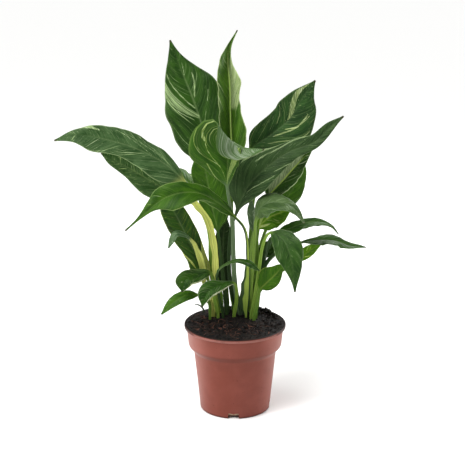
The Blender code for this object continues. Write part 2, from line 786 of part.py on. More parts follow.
def leaf_lines(leaf):
    """The stem's line above the soil and the blade's midrib, in metres."""
    crown = (*leaf["foot"], STEM_CROWN_Z / MM)
    points = [crown] + leaf["stem"] + leaf["blade"]
    line = curve_through(points, LINE_STEPS) * MM
    joint = (1 + len(leaf["stem"])) * LINE_STEPS
    return line[: joint + 1], line[joint:]


def width_at(values, u):
    """A half-width between its even stations, smooth through them."""
    count = len(values) - 1
    i = min(int(u * count), count - 1)
    t = u * count - i
    before, here, there, after = (values[min(max(k, 0), count)] for k in range(i - 1, i + 3))
    curve = (
        2 * here
        + (there - before) * t
        + (2 * before - 5 * here + 4 * there - after) * t**2
        + (3 * here - before - 3 * there + after) * t**3
    )
    return max(curve / 2, LEAST_HALF_WIDTH)


def half_section(share, fold, curl):
    """How far a half blade reaches out and up at a share of its width, as an arc that starts at fold."""
    start = math.radians(fold)
    turn = math.radians(curl)
    out = (math.sin(start + turn * share) - math.sin(start)) / turn
    rise = (math.cos(start) - math.cos(start + turn * share)) / turn
    return out, rise


def blade_points(leaf, rows, columns):
    """The upper blade as a grid of points, base to tip and left to right."""
    midrib, length = along(leaf_lines(leaf)[1], rows + 1)
    ahead = np.gradient(midrib, axis=0)
    ahead /= np.linalg.norm(ahead, axis=1)[:, None]
    face = np.array(leaf["face"], float)
    face /= np.linalg.norm(face, axis=1)[:, None]
    grid = np.zeros((rows + 1, columns + 1, 3))
    for i in range(rows + 1):
        u = i / rows
        stations = np.linspace(0, 1, len(face))
        up = np.array([np.interp(u, stations, face[:, k]) for k in range(3)])
        up -= up.dot(ahead[i]) * ahead[i]
        up /= np.linalg.norm(up)
        across = np.cross(ahead[i], up)
        for j in range(columns + 1):
            v = 2 * j / columns - 1
            side = 0 if v < 0 else 1
            width = width_at(leaf[("left", "right")[side]], u) * MM
            out, rise = half_section(abs(v), leaf["fold"][side], leaf["curl"][side])
            height, number = leaf["wave"]
            phase = math.tau * number * u + WAVE_SHIFT * side
            rise += height * v * v * math.sin(phase) * math.sqrt(math.sin(math.pi * u))
            grid[i, j] = midrib[i] + across * width * out * math.copysign(1, v) + up * width * rise
    return grid, length


def make_blade(name, leaf, coll):
    """The blade as an open sheet, shaped from a flat grid, with its thickness from a Solidify modifier."""
    _, length = along(leaf_lines(leaf)[1], 2)
    fewest, most = BLADE_ROWS
    rows = max(fewest, min(most, round(length / BLADE_ROW)))
    columns = 6 if max(leaf["left"]) > WIDE_BLADE else 4
    grid, _ = blade_points(leaf, rows, columns)
    bm = bmesh.new()
    bmesh.ops.create_grid(bm, x_segments=columns, y_segments=rows, size=0.5)
    for vert in bm.verts:
        i = round((vert.co.y + 0.5) * rows)
        j = round((vert.co.x + 0.5) * columns)
        vert.co = grid[i, j]
    bmesh.ops.triangulate(bm, faces=bm.faces, quad_method="FIXED")
    mesh = bpy.data.meshes.new(name)
    bm.to_mesh(mesh)
    bm.free()
    blade = new_object(name, mesh, coll)
    solid = blade.modifiers.new("Thickness", "SOLIDIFY")
    solid.thickness = BLADE_THICKNESS
    solid.offset = 0
    return blade


def stem_route(leaf):
    """The stem's points from its foot to where it runs out in the midrib, each with its radius."""
    stem, midrib = leaf_lines(leaf)
    x, y = leaf["foot"]
    foot_radius = leaf["radius"] * MM
    base_radius = min(foot_radius, STEM_BASE_RADIUS)
    count = max(4, round(along(stem, 2)[1] / STEM_STEP) + 1)
    points, _ = along(stem, count)
    radii = np.linspace(foot_radius, base_radius, count)
    route = [(Vector((x * MM, y * MM, STEM_FOOT_Z)), foot_radius)]
    route += [(Vector(p), r) for p, r in zip(points, radii)]
    rib, _ = along(midrib, 101)
    for share in (0.5, 1):
        place = rib[round(100 * STEM_RUNS_INTO_BLADE * share)]
        route.append((Vector(place), base_radius + (STEM_TIP_RADIUS - base_radius) * share))
    return route


def tube_along(name, route, coll):
    """A closed tube through a route's points, with a radius at each."""
    curve = bpy.data.curves.new(name, "CURVE")
    curve.dimensions = "3D"
    curve.bevel_depth = 1
    curve.bevel_resolution = 1
    curve.use_fill_caps = True
    spline = curve.splines.new("POLY")
    spline.points.add(len(route) - 1)
    for point, (place, radius) in zip(spline.points, route):
        point.co = (*place, 1)
        point.radius = radius
    tube = bpy.data.objects.new(name, curve)
    coll.objects.link(tube)
    mesh = applied_mesh(tube)
    bpy.data.objects.remove(tube, do_unlink=True)
    return new_object(name, mesh, coll)


def make_leaf(name, leaf, coll, cutters):
    mat = new_material(name + "_green", leaf["colour"], 0.4)
    blade = make_blade(name, leaf, coll)
    stem = tube_along(name + "_stem", stem_route(leaf), cutters)
    cut(blade, stem, "UNION")
    blade.data = applied_mesh(blade)
    blade.modifiers.clear()
    bpy.data.objects.remove(stem, do_unlink=True)
    blade.data.materials.clear()
    blade.data.materials.append(mat)
    shade_round(blade.data, LEAF_EDGE)


def make_stub(name, stub, coll):
    foot = Vector((*stub["foot"], STEM_FOOT_Z / MM)) * MM
    route = [(foot, stub["radius"] * MM)]
    route += [(Vector(point[:3]) * MM, point[3] * MM) for point in stub["route"]]
    tube = tube_along(name, route, coll)
    tube.data.materials.append(new_material(name + "_brown", DEAD_BROWN, 0.8))
    shade_round(tube.data, LEAF_EDGE)


def main():
    clear_scene()
    parts = new_collection("potted_peace_lily")
    cutters = new_collection("cutters")
    make_pot(parts, cutters)
    make_soil(parts, cutters)
    for name, leaf in LEAVES.items():
        make_leaf(name, leaf, parts, cutters)
    for name, stub in STUBS.items():
        make_stub(name, stub, parts)


main()
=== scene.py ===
# %% [markdown]
# # A potted peace lily
# A young variegated peace lily stands in a plastic nursery pot of 12 cm. Its leaves rise on long stems from the
# peat, and each one is a single piece of growth from its foot to its drip tip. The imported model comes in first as
# a fixed frame. Every piece below takes its place from that frame and hides the plainer solid that it stands for.

# %% The frame
import math
import random

import bpy
import numpy as np
from mathutils import Euler, Matrix, Vector, noise


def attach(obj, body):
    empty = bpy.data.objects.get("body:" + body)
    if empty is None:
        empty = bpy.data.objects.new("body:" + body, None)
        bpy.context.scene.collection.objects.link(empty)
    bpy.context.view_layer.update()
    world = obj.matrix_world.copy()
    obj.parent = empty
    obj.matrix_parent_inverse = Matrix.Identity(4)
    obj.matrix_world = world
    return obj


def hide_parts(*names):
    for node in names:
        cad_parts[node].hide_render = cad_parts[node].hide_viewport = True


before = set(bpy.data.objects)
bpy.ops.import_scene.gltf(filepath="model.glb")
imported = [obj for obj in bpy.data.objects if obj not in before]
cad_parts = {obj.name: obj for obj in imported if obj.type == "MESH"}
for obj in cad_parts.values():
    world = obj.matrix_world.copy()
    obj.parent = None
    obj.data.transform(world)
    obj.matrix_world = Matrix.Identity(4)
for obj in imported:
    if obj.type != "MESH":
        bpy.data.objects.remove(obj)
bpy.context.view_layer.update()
MM = 0.001

# %% [markdown]
# ## Camera, floor and light
# The camera's height, distance and tilt follow from the pot: its lip and its foot are circles, and how flat they
# look fixes the angle from above. A long lens from 1.4 m back gives the calm perspective of a catalogue picture.

# %% Camera
camera_data = bpy.data.cameras.new("camera")
camera_data.lens = 95.3
camera_data.sensor_width = 36
camera = bpy.data.objects.new("camera", camera_data)
bpy.context.scene.collection.objects.link(camera)
camera.location = (-0.003, -1.370, 0.609)
camera.rotation_euler = (math.radians(73.99), 0, 0)
bpy.context.scene.camera = camera
print("camera looks down by", round(90 - 73.99, 2), "degrees")

# %% [markdown]
# The floor is one pale matt sheet. Big soft lamps to the upper left and right make broad highlights on the leaves,
# one from behind lights the thin margins, and a white surround fills the shadows.

# %% Floor and lamps
bpy.context.scene.view_settings.view_transform = "Standard"


def add_node(tree, kind, settings, sockets):
    """A node with its settings, and its inputs set to a value or joined to another node's output."""
    made = tree.nodes.new(kind)
    for key, value in settings.items():
        setattr(made, key, value)
    for key, value in sockets.items():
        if isinstance(value, bpy.types.NodeSocket):
            tree.links.new(value, made.inputs[key])
        else:
            made.inputs[key].default_value = value
    return made


def new_material(name):
    """A material with nothing but a Principled shader, and that shader."""
    material = bpy.data.materials.new(name)
    material.use_nodes = True
    return material, material.node_tree.nodes["Principled BSDF"]


def new_lamp(name, kind, place, aim, power, size):
    """A lamp that looks from its place at a point. size is an area lamp's side, or a sun's spread in degrees."""
    lamp_data = bpy.data.lights.new(name, kind)
    lamp_data.energy = power
    if kind == "SUN":
        lamp_data.angle = math.radians(size)
    else:
        lamp_data.size = size
    lamp = bpy.data.objects.new(name, lamp_data)
    bpy.context.scene.collection.objects.link(lamp)
    lamp.location = place
    lamp.rotation_euler = (Vector(aim) - Vector(place)).to_track_quat("-Z", "Y").to_euler()


bpy.ops.mesh.primitive_plane_add(size=80, location=(0, 0, 0))
floor = bpy.context.object
floor.name = "floor"
floor_material, floor_shader = new_material("floor_paper")
floor_shader.inputs["Base Color"].default_value = (0.93, 0.93, 0.92, 1)
floor_shader.inputs["Roughness"].default_value = 0.9
floor.data.materials.append(floor_material)

world = bpy.data.worlds.new("studio")
world.use_nodes = True
world.node_tree.nodes["Background"].inputs["Color"].default_value = (1, 1, 1, 1)
world.node_tree.nodes["Background"].inputs["Strength"].default_value = 0.36
bpy.context.scene.world = world
new_lamp("lamp_above", "SUN", (-0.6, -0.5, 2.0), (0, 0, 0.2), 2.5, 40)
new_lamp("lamp_left", "AREA", (-1.0, -0.7, 0.9), (0, 0, 0.28), 9, 0.5)
new_lamp("lamp_behind", "AREA", (0.5, 1.0, 1.1), (0, 0, 0.30), 12, 0.8)
new_lamp("lamp_side_left", "AREA", (-1.1, 0.25, 0.3), (0, 0, 0.06), 2.5, 0.5)
new_lamp("lamp_side_right", "AREA", (1.1, 0.25, 0.3), (0, 0, 0.06), 5, 0.5)

# %% [markdown]
# ## The leaves
# A leaf is measured as a gardener would describe it: where it leaves the soil, the points that its stem and its
# midrib pass, which way its upper side looks, and how wide each half is on the way to the tip. Then comes its
# finish: a base green, how streaky and flecked it is, and the pale sectors that lie between two side veins.

# %% The greens
FINISHES = {
    "dark": dict(deep=(0.008, 0.032, 0.004), mid=(0.024, 0.078, 0.005), pale=(0.32, 0.44, 0.19), gloss=0.16),
    "green": dict(deep=(0.016, 0.058, 0.005), mid=(0.044, 0.120, 0.006), pale=(0.38, 0.52, 0.17), gloss=0.16),
    # bright: the young leaves' own lighter green, raised further as painted light for the glow of light shining through
    # them
    "bright": dict(deep=(0.035, 0.120, 0.004), mid=(0.090, 0.215, 0.008), pale=(0.55, 0.66, 0.13), gloss=0.14),
    "silvery": dict(deep=(0.022, 0.058, 0.018), mid=(0.050, 0.098, 0.038), pale=(0.36, 0.47, 0.28), gloss=0.45),
}
STEM_GREEN = (0.115, 0.210, 0.030)
STEM_BRIGHT = (0.21, 0.34, 0.05)
STEM_YELLOW = (0.62, 0.66, 0.16)
STEM_DARK = (0.030, 0.060, 0.020)
STEM_GREY = (0.13, 0.19, 0.10)
print(len(FINISHES), "finishes")

# %% The leaves' measures
LEAVES = {
    "leaf_top_left": dict(
        foot=(-9, 30),
        radius=2.7,
        stem=[(-11, 30, 143), (-14, 30, 199), (-17, 30, 247)],
        blade=[(-25, 30, 286), (-35, 33, 324), (-49, 40, 366), (-62, 48, 397), (-75, 54, 431)],
        face=[(-2, -10, 3), (-2, -10, 4), (-3, -10, 4)],
        left=(2, 24.5, 35, 35, 36.5, 30, 21.5, 10.5, 1),
        right=(2, 19, 28, 33, 35, 31.5, 18.5, 6.5, 1),
        fold=(8, 12),
        curl=(-14, -20),
        wave=(0.05, 3),
        finish="dark",
        deep=(0.006, 0.026, 0.003),
        mid=(0.022, 0.068, 0.006),
        rib=0.28,
        stem_colour=STEM_GREEN,
        streaks=0.30,
        flecks=0.3,
        pale_margin=0.25,
        sheath=(1.0, 1.0, 0.6, 0.2, 0),
        sectors=[
            (-1, 0.0, 1.0, 0.4, 0.35, 0.02, 0.12, 0.85),
            (-1, 0.05, 0.9, 0.46, 0.58, 0.009, 0.014, 0.9),
            (-1, 0.2, 0.9, 0.33, 0.24, 0.006, 0.010, 0.8),
            (1, 0.1, 0.45, 0.54, 0.63, 0.014, 0.018, 1.0),
            (1, 0.05, 0.3, 0.72, 0.78, 0.010, 0.010, 0.9),
            (1, 0.15, 0.3, 0.31, 0.33, 0.008, 0.010, 0.9),
            (1, 0.45, 0.6, 0.36, 0.38, 0.006, 0.008, 0.9),
        ],
    ),
    "leaf_top_centre": dict(
        foot=(-1, 28),
        radius=2.6,
        stem=[(-1, 26, 144), (-3, 26, 200), (-4, 26, 248)],
        blade=[(-2, 24, 290), (-5, 29, 330), (-6, 35, 376), (-7.5, 39, 423), (2.5, 41, 444)],
        face=[(0, -10, 2), (0, -10, 2)],
        left=(3, 17, 23, 24, 25, 26, 20, 4.5, 1),
        right=(3, 21, 27, 20, 16, 19, 7.5, 4, 1),
        fold=(62, 56),
        curl=(-8, -16),
        wave=(0.05, 3),
        finish="green",
        deep=(0.020, 0.066, 0.006),
        mid=(0.062, 0.150, 0.012),
        pale=(0.54, 0.64, 0.30),
        # The midrib is really pale. Its line is painted wider and brighter as painted light, lifting the shade of the
        # deep fold it lies in.
        rib_width=1.5,
        rib_colour=(0.80, 1.00, 0.36),
        stem_colour=STEM_GREEN,
        streaks=0.3,
        flecks=0.25,
        pale_margin=0.6,
        rib=1.6,
        sheath=(1.0, 1.0, 0.6, 0.2, 0),
        sectors=[
            (1, 0.05, 1.0, 0.56, 0.42, 0.16, 0.30, 0.9),
            (-1, 0.85, 1.0, 0.2, 0.2, 0.4, 0.4, 0.4),
        ],
    ),
    "leaf_front_centre": dict(
        foot=(6, 12),
        radius=2.9,
        stem=[(0, 6, 150), (-2, 0, 195), (-3, -12, 236)],
        blade=[(-9, -28, 277), (-8, -17, 300), (-7, -13, 327), (8, -25, 322), (32, -38, 322)],
        face=[
            (0, -9, 4),
            (0, -9, 4),
            (0, -9, 4),
            (0, -10, 2),
            (1, -10, -0.5),
            (1.8, -2.6, -9),
            (2.9, 4.5, -8.3),
            (2.4, 7, -7),
            (1.6, 7.8, -6),
        ],
        left=(2, 19, 34, 43, 43, 33.5, 19, 9, 1),
        right=(2, 13, 20, 24, 23, 17, 11, 6, 1),
        fold=(8, 58),
        curl=(-8, -10),
        wave=(0.04, 3),
        finish="green",
        pale_below=(0.30, 0.36, 0.26),
        deep=(0.010, 0.040, 0.004),
        mid=(0.034, 0.098, 0.008),
        pale=(0.46, 0.60, 0.16),
        stem_colour=STEM_GREY,
        streaks=0.3,
        flecks=0.3,
        pale_margin=0.1,
        sheath=(0.6, 0.6, 0.5, 0.3, 0),
        sectors=[
            (-1, 0.1, 0.6, 0.0, 0.28, 0.008, 0.010, 1.0),
            (-1, 0.6, 0.95, 0.28, 0.12, 0.010, 0.010, 0.95),
            (-1, 0.3, 0.95, 0.12, 0.04, 0.007, 0.008, 0.8),
            (-1, 0.68, 0.9, -0.13, -0.74, 0.03, 0.03, 0.8),
            (-1, 0.1, 1.0, 0.75, 0.52, 0.3, 0.25, 0.95),
            (1, 0.0, 0.9, 0.06, 0.0, 0.1, 0.3, 0.6),
        ],
    ),
    "leaf_top_right": dict(
        foot=(14, 27),
        radius=2.6,
        stem=[(18, 34, 159), (19, 38, 221), (17, 41, 269)],
        blade=[(17, 43, 302), (43, 45, 323), (64, 48, 341), (80, 50, 368), (93, 50, 385)],
        face=[(1, -10, 5), (1, -10, 5)],
        left=(2, 15.5, 19.5, 19.5, 20.5, 21.5, 16, 7.5, 1),
        right=(2, 21, 27.5, 32, 33, 27, 21, 10, 1),
        fold=(14, 14),
        curl=(-10, -20),
        wave=(0.06, 3),
        finish="dark",
        deep=(0.008, 0.028, 0.008),
        mid=(0.022, 0.066, 0.014),
        rib=0.12,
        pale=(0.42, 0.52, 0.20),
        stem_colour=STEM_GREEN,
        streaks=0.34,
        flecks=0.5,
        pale_margin=0.15,
        sheath=(0.8, 0.8, 0.4, 0.2, 0),
        sectors=[
            (-1, 0.03, 0.85, 0.56, 0.84, 0.07, 0.14, 1.0),
            (1, 0.15, 0.6, 0.26, 0.50, 0.024, 0.030, 1.0),
            (1, 0.2, 0.7, 0.38, 0.46, 0.010, 0.014, 0.9),
            (1, 0.3, 0.9, 0.1, 0.16, 0.016, 0.03, 0.8),
            (-1, 0.3, 0.9, 0.32, 0.36, 0.010, 0.012, 0.8),
        ],
    ),
    "leaf_long_right": dict(
        foot=(4, 20),
        radius=2.5,
        stem=[(-5, 15, 146), (-7, 10, 190), (-4, 2, 222)],
        blade=[(3, -7, 245), (13, -8, 270), (34, -6, 293), (62, -1, 312), (90, 3, 322), (108, 6, 339.5), (123, 7, 351)],
        face=[(-5, -10, 2), (-2, -9, 5), (0, -8, 6), (0, -9, 5), (-2, -9, 4)],
        left=(6, 21, 31, 22, 13, 12, 8.5, 6, 1),
        right=(4, 14, 20, 18, 14, 10.5, 7.5, 6, 1),
        fold=(20, 18),
        curl=(-20, -26),
        wave=(0.08, 3),
        finish="dark",
        deep=(0.010, 0.028, 0.008),
        mid=(0.030, 0.064, 0.018),
        rib=0.12,
        stem_colour=STEM_DARK,
        streaks=0.26,
        flecks=0.4,
        pale_margin=0.35,
        sheath=(0.6, 0.6, 0.4, 0.2, 0),
        sectors=[
            (-1, 0.55, 1.0, 0.2, 0.5, 0.05, 0.10, 1.0),
            (-1, 0.80, 1.0, 0.0, 0.1, 0.10, 0.15, 0.8),
            (1, 0.2, 0.8, 0.1, 0.2, 0.012, 0.016, 0.7),
            (1, 0.6, 0.95, 0.28, 0.34, 0.010, 0.016, 0.9),
        ],
    ),
    "leaf_pale_right": dict(
        foot=(20, 19),
        radius=2.3,
        stem=[(23, 19, 170), (28, 14, 221)],
        blade=[(37, 8, 254), (55, 10, 275), (72, 13, 294), (89, 16, 311)],
        face=[(-2, -8, 6), (-2, -8, 6)],
        left=(2, 13, 16, 16, 13, 10, 7, 5, 1),
        right=(2, 12, 16, 18, 18, 17, 11, 6, 1),
        fold=(28, 34),
        curl=(-20, -20),
        wave=(0.05, 3),
        finish="dark",
        rib=1.2,
        pale=(0.44, 0.54, 0.28),
        rib_colour=(0.55, 0.72, 0.16),
        stem_colour=STEM_GREEN,
        streaks=0.45,
        flecks=0.4,
        pale_margin=0.9,
        sheath=(0.8, 0.8, 0.5, 0.2, 0),
        sectors=[
            (-1, 0.06, 0.95, 0.4, 0.35, 0.4, 0.6, 1.0),
        ],
    ),
    "leaf_round_right": dict(
        foot=(21, 33),
        radius=2.3,
        stem=[(27, 39, 173), (40, 39, 216)],
        blade=[(56, 34, 241), (67, 34, 258), (73, 38, 275), (75, 42, 296)],
        face=[(0, -10, 3), (0, -10, 3)],
        left=(2, 17, 19, 18, 17, 14, 10, 6, 1),
        right=(2, 11, 13, 13, 12, 11, 10, 7, 1),
        fold=(10, 10),
        curl=(-10, -20),
        wave=(0.04, 2),
        finish="green",
        rib=0.1,
        stem_colour=STEM_GREEN,
        streaks=0.3,
        flecks=0.35,
        pale_margin=0.2,
        sheath=(0.6, 0.6, 0.4, 0.2, 0),
        sectors=[
            (-1, 0.2, 0.8, 0.18, 0.22, 0.02, 0.03, 0.5),
        ],
    ),
    "leaf_drooping_right": dict(
        foot=(19, 11),
        radius=2.1,
        stem=[(21, 10, 166), (23, -2, 212)],
        blade=[(24, -10, 234), (28, -15, 249), (42, -20, 257), (59, -25, 256), (70, -29, 249), (78, -32, 236)],
        face=[(-4, -9, 3), (-1, -8, 7), (1, -5, 10), (1, -5, 10)],
        left=(2, 3, 10, 13, 11, 8, 6, 3, 1),
        right=(3, 11, 16, 17, 15, 12, 9, 5, 1),
        fold=(15, 15),
        curl=(-20, -20),
        wave=(0.07, 2),
        finish="silvery",
        deep=(0.020, 0.052, 0.010),
        mid=(0.050, 0.098, 0.022),
        rib=0.1,
        stem_colour=STEM_BRIGHT,
        streaks=0.32,
        flecks=0.3,
        pale_margin=0.3,
        sheath=(2.0, 2.0, 1.6, 0.8, 0.3),
        sectors=[
            (1, 0.1, 0.8, 0.15, 0.2, 0.02, 0.03, 0.4),
        ],
    ),
    "leaf_bright_right": dict(
        foot=(24.5, 7.5),
        radius=2.0,
        stem=[(25, 8, 140), (26, 12, 170), (26, 10, 195)],
        blade=[(27, 4, 219), (38, 4, 232), (52, 5, 238), (65, 7, 242)],
        face=[(0, -10, 2), (0, -10, 2)],
        left=(2, 7, 10, 10, 10, 9, 7, 4, 1),
        right=(3, 11, 13, 14, 15, 13, 11, 6, 1),
        fold=(15, 15),
        curl=(-20, -20),
        wave=(0.04, 2),
        finish="bright",
        rib=0.5,
        pale=(0.62, 0.72, 0.24),
        stem_colour=STEM_GREEN,
        streaks=0.2,
        flecks=0.3,
        pale_margin=0.3,
        sheath=(0.5, 0.5, 0.3, 0.2, 0),
        sectors=[
            (1, 0.0, 0.5, 0.0, 0.05, 0.12, 0.10, 1.0),
            (-1, 0.0, 0.6, 0.0, 0.1, 0.10, 0.15, 1.0),
            (1, 0.1, 0.8, 0.3, 0.35, 0.01, 0.02, 0.6),
        ],
    ),
    "leaf_arched_right": dict(
        foot=(26, 20),
        radius=2.0,
        stem=[(32, 18, 165), (40, 8, 199)],
        blade=[(47, -3, 215), (63, -8, 223), (81, -10, 230), (100, -10, 231), (111, -9, 226), (119, -8, 216)],
        face=[(0, -4, 10), (0, -4, 10)],
        left=(2, 7, 9, 8.5, 7.5, 6, 3.5, 2, 1),
        right=(2, 7, 12, 14, 12, 9, 6, 3, 1),
        fold=(18, 18),
        curl=(-20, -20),
        wave=(0.06, 2),
        finish="dark",
        stem_colour=STEM_DARK,
        streaks=0.25,
        flecks=0.25,
        pale_margin=0.15,
        sheath=(0.5, 0.6, 1.5, 4, 3),
        sheath_fold=20,
        sectors=[],
    ),
    "leaf_hanging_front": dict(
        foot=(19.5, 4.2),
        radius=2.2,
        stem=[(27, 1, 163), (32, -13, 205)],
        blade=[(40, -28, 224), (54, -43, 219), (61, -54, 205), (65, -60, 187), (67, -62, 164)],
        face=[(2, -10, 9), (2, -10, 5), (2, -10, 2)],
        left=(2, 9, 15, 17, 16, 12, 8, 4, 1),
        right=(2, 9, 14, 16, 16, 12, 7, 3, 1),
        fold=(12, 16),
        curl=(-15, -25),
        wave=(0.07, 3),
        finish="dark",
        rib=0.08,
        deep=(0.010, 0.034, 0.006),
        mid=(0.030, 0.080, 0.012),
        stem_colour=STEM_BRIGHT,
        streaks=0.3,
        flecks=0.4,
        pale_margin=0.3,
        sheath=(0.6, 0.6, 0.4, 0.2, 0),
        sectors=[],
    ),
    "leaf_far_right": dict(
        foot=(25, 13.5),
        radius=2.0,
        stem=[(26.4, 12.7, 143), (39, 10, 178), (56, 9, 193)],
        blade=[(76, 9, 201), (97, 10, 204), (117, 10, 203), (134, 8, 197.5), (153, 6, 196)],
        face=[(0, -3.5, 10), (0, -3.5, 10)],
        left=(2, 3, 5, 10, 9, 5.5, 5.5, 4.5, 1),
        right=(2, 7, 11, 14, 14, 11, 7, 4, 1),
        fold=(22, 18),
        curl=(-20, -20),
        wave=(0.12, 2),
        finish="dark",
        stem_colour=STEM_DARK,
        streaks=0.34,
        flecks=0.3,
        pale_margin=0.5,
        sheath=(1.6, 2.4, 2.2, 1.0, 0),
        sheath_fold=20,
        sectors=[],
    ),
    "leaf_tucked_right": dict(
        foot=(25.5, 28),
        radius=1.8,
        stem=[(29, 27, 134), (43, 25, 150), (58, 24, 163)],
        blade=[(72, 23, 174), (82, 24, 181), (91, 26, 188), (103, 28, 195)],
        face=[(0, -8, 6), (0, -8, 6)],
        left=(2, 7, 8, 6.5, 4, 1),
        right=(2, 5, 6.5, 6.5, 4, 1),
        fold=(15, 15),
        curl=(-20, -20),
        wave=(0.04, 2),
        finish="bright",
        stem_colour=STEM_GREEN,
        streaks=0.4,
        flecks=0.2,
        pale_margin=0.3,
        sheath=(0.5, 0.4, 0.2, 0),
        sectors=[
            (-1, 0.3, 0.9, 0.4, 0.4, 0.03, 0.05, 0.5),
        ],
    ),
    "leaf_small_round": dict(
        foot=(22.5, -1.5),
        radius=1.9,
        stem=[(27, -2, 134)],
        blade=[(29, -3, 147), (37, -6, 157), (47, -9, 168), (57, -11, 181)],
        face=[(0, -10, 3), (0, -10, 3)],
        left=(2, 8, 12, 15, 15, 13, 9, 6, 1),
        right=(2, 7, 10, 11, 11, 9, 6, 3, 1),
        fold=(10, 14),
        curl=(-15, -20),
        wave=(0.04, 2),
        finish="bright",
        deep=(0.014, 0.054, 0.002),
        mid=(0.034, 0.105, 0.003),
        stem_colour=STEM_GREEN,
        streaks=0.1,
        flecks=0.0,
        pale_margin=0.3,
        sheath=(0.8, 0.6, 0.3, 0),
        sectors=[],
    ),
    "leaf_small_inner": dict(
        foot=(20, 26),
        radius=1.8,
        stem=[(23, 25, 149), (26, 23, 169)],
        blade=[(28.5, 20, 180), (38, 19, 189), (50, 19, 197)],
        face=[(0, -10, 3), (0, -10, 3)],
        left=(2, 8, 10, 8, 1),
        right=(2, 7, 8, 6, 1),
        fold=(15, 15),
        curl=(-20, -20),
        wave=(0.04, 2),
        finish="dark",
        stem_colour=STEM_GREEN,
        streaks=0.25,
        flecks=0.2,
        pale_margin=0.2,
        sheath=(0.5, 0.4, 0.2, 0),
        sectors=[],
    ),
    "leaf_thin_across": dict(
        foot=(-14, 4),
        radius=1.5,
        stem=[(-20, -3, 146)],
        blade=[(-20, -12, 173), (-11, -16, 182), (2, -18, 187), (16, -18, 184), (28, -18, 175)],
        face=[(0, -5, 10), (0, -5, 10)],
        left=(1.5, 2, 3, 4, 4.5, 1),
        right=(1.5, 2, 3, 5, 6, 1),
        fold=(15, 15),
        curl=(-20, -20),
        wave=(0.04, 2),
        finish="dark",
        stem_colour=STEM_DARK,
        streaks=0.25,
        flecks=0.2,
        pale_margin=0.6,
        sheath=(0.4, 0.3, 0.2, 0),
        sectors=[],
    ),
    "leaf_front_left": dict(
        foot=(13, 6),
        radius=1.9,
        stem=[(15, 2, 143), (15, -7, 195), (11, -14, 224)],
        blade=[
            (1, -24, 240), (-18, -34, 259), (-36, -42, 272), (-55, -49, 276),
            (-78, -55, 271), (-100, -62, 255), (-121, -67, 237),
        ],
        face=[(0, -5, 8), (-1, -6, 8), (-2, -8, 6), (-4, -8, 4)],
        left=(2, 10, 12, 13, 20, 20, 6, 2, 1),
        right=(2, 7, 9, 11, 14, 14, 8, 2, 1),
        fold=(20, 25),
        curl=(-20, -25),
        wave=(0.05, 3),
        finish="green",
        wing_colour=STEM_DARK,
        deep=(0.012, 0.046, 0.004),
        mid=(0.036, 0.100, 0.005),
        stem_colour=(0.30, 0.42, 0.07),
        streaks=0.16,
        flecks=0.1,
        pale_margin=0.45,
        sheath=(8, 8, 1.5, 0.3, 0),
        sheath_fold=15,
        sheath_sides=(1, 0.1),
        sectors=[
            (-1, 0.3, 1.0, 0.1, 0.15, 0.03, 0.06, 0.45),
        ],
    ),
    "leaf_upper_left": dict(
        foot=(-26, 12),
        radius=2.8,
        stem=[(-24, 4, 144), (-22.5, 0, 187), (-31, -6, 232), (-46, -8, 254)],
        blade=[(-56, -5, 274), (-76, 0, 294), (-109, 6, 312), (-148, 8, 324), (-182, 8, 329), (-206, 6, 323)],
        face=[(-1, -8, 6), (-1, -8, 6)],
        left=(2, 19, 23, 20, 17, 17.5, 18, 9, 1),
        right=(2, 7.5, 12.5, 14, 17, 17, 13, 6, 1),
        fold=(16, 18),
        curl=(-20, -25),
        wave=(0.08, 4),
        finish="dark",
        deep=(0.014, 0.044, 0.010),
        mid=(0.048, 0.098, 0.032),
        stem_colour=STEM_YELLOW,
        streaks=0.46,
        flecks=0.5,
        pale_margin=0.5,
        sheath=(1.2, 1.4, 1.4, 1.8, 2.6, 2.4, 1.2),
        sheath_fold=30,
        sheath_sides=(1.5, 0.7),
        sectors=[
            (1, 0.1, 0.7, 0.02, 0.42, 0.008, 0.012, 0.8),
            (1, 0.2, 0.9, 0.12, 0.3, 0.008, 0.01, 0.7),
            (1, 0.1, 0.8, 0.3, 0.5, 0.006, 0.010, 0.7),
            (-1, 0.1, 0.8, 0.35, 0.4, 0.008, 0.012, 0.7),
            (-1, 0.85, 1.0, 0.5, 0.66, 0.03, 0.05, 0.6),
            (1, 0.6, 1.0, 0.66, 0.76, 0.02, 0.06, 1.0),
        ],
    ),
    "leaf_lower_left": dict(
        foot=(-18, 21),
        radius=2.2,
        stem=[(-26.5, 18, 148), (-29, 15, 187), (-29.5, 13, 207), (-34, 12, 226), (-43, 11, 243)],
        blade=[(-64, 15, 255), (-93, 22, 269), (-124, 28, 286), (-156, 32, 303)],
        face=[(-1, -9, 5), (-1, -9, 5)],
        left=(3, 14, 17.5, 18.5, 15.5, 11.5, 9.5, 7, 1),
        right=(3, 8, 12, 15, 16, 15, 12, 8, 1),
        fold=(14, 14),
        curl=(-20, -25),
        wave=(0.06, 3),
        finish="green",
        deep=(0.014, 0.050, 0.008),
        mid=(0.052, 0.108, 0.032),
        stem_colour=STEM_BRIGHT,
        streaks=0.38,
        flecks=0.8,
        pale_margin=0.2,
        sheath=(0.8, 0.8, 0.6, 0.4, 0),
        sectors=[
            (1, 0.2, 0.8, 0.4, 0.5, 0.05, 0.1, 0.35),
        ],
    ),
    "leaf_tall_left": dict(
        foot=(-24, 20),
        radius=2.2,
        stem=[(-28, 17, 132)],
        blade=[(-32, 14, 154), (-43, 12, 180), (-56, 10, 207), (-67, 6, 232), (-83, 0, 264)],
        face=[(-2, -10, 2), (-2, -10, 2)],
        left=(3, 14, 13.5, 13.5, 16, 16.5, 15.5, 12, 1),
        right=(3, 9, 11, 13.5, 15, 15, 13.5, 10, 1),
        fold=(14, 14),
        curl=(-20, -25),
        wave=(0.06, 3),
        finish="dark",
        pale=(0.58, 0.64, 0.12),
        deep=(0.004, 0.020, 0.002),
        mid=(0.016, 0.056, 0.003),
        stem_colour=STEM_GREEN,
        streaks=0.06,
        flecks=0.25,
        pale_margin=0.3,
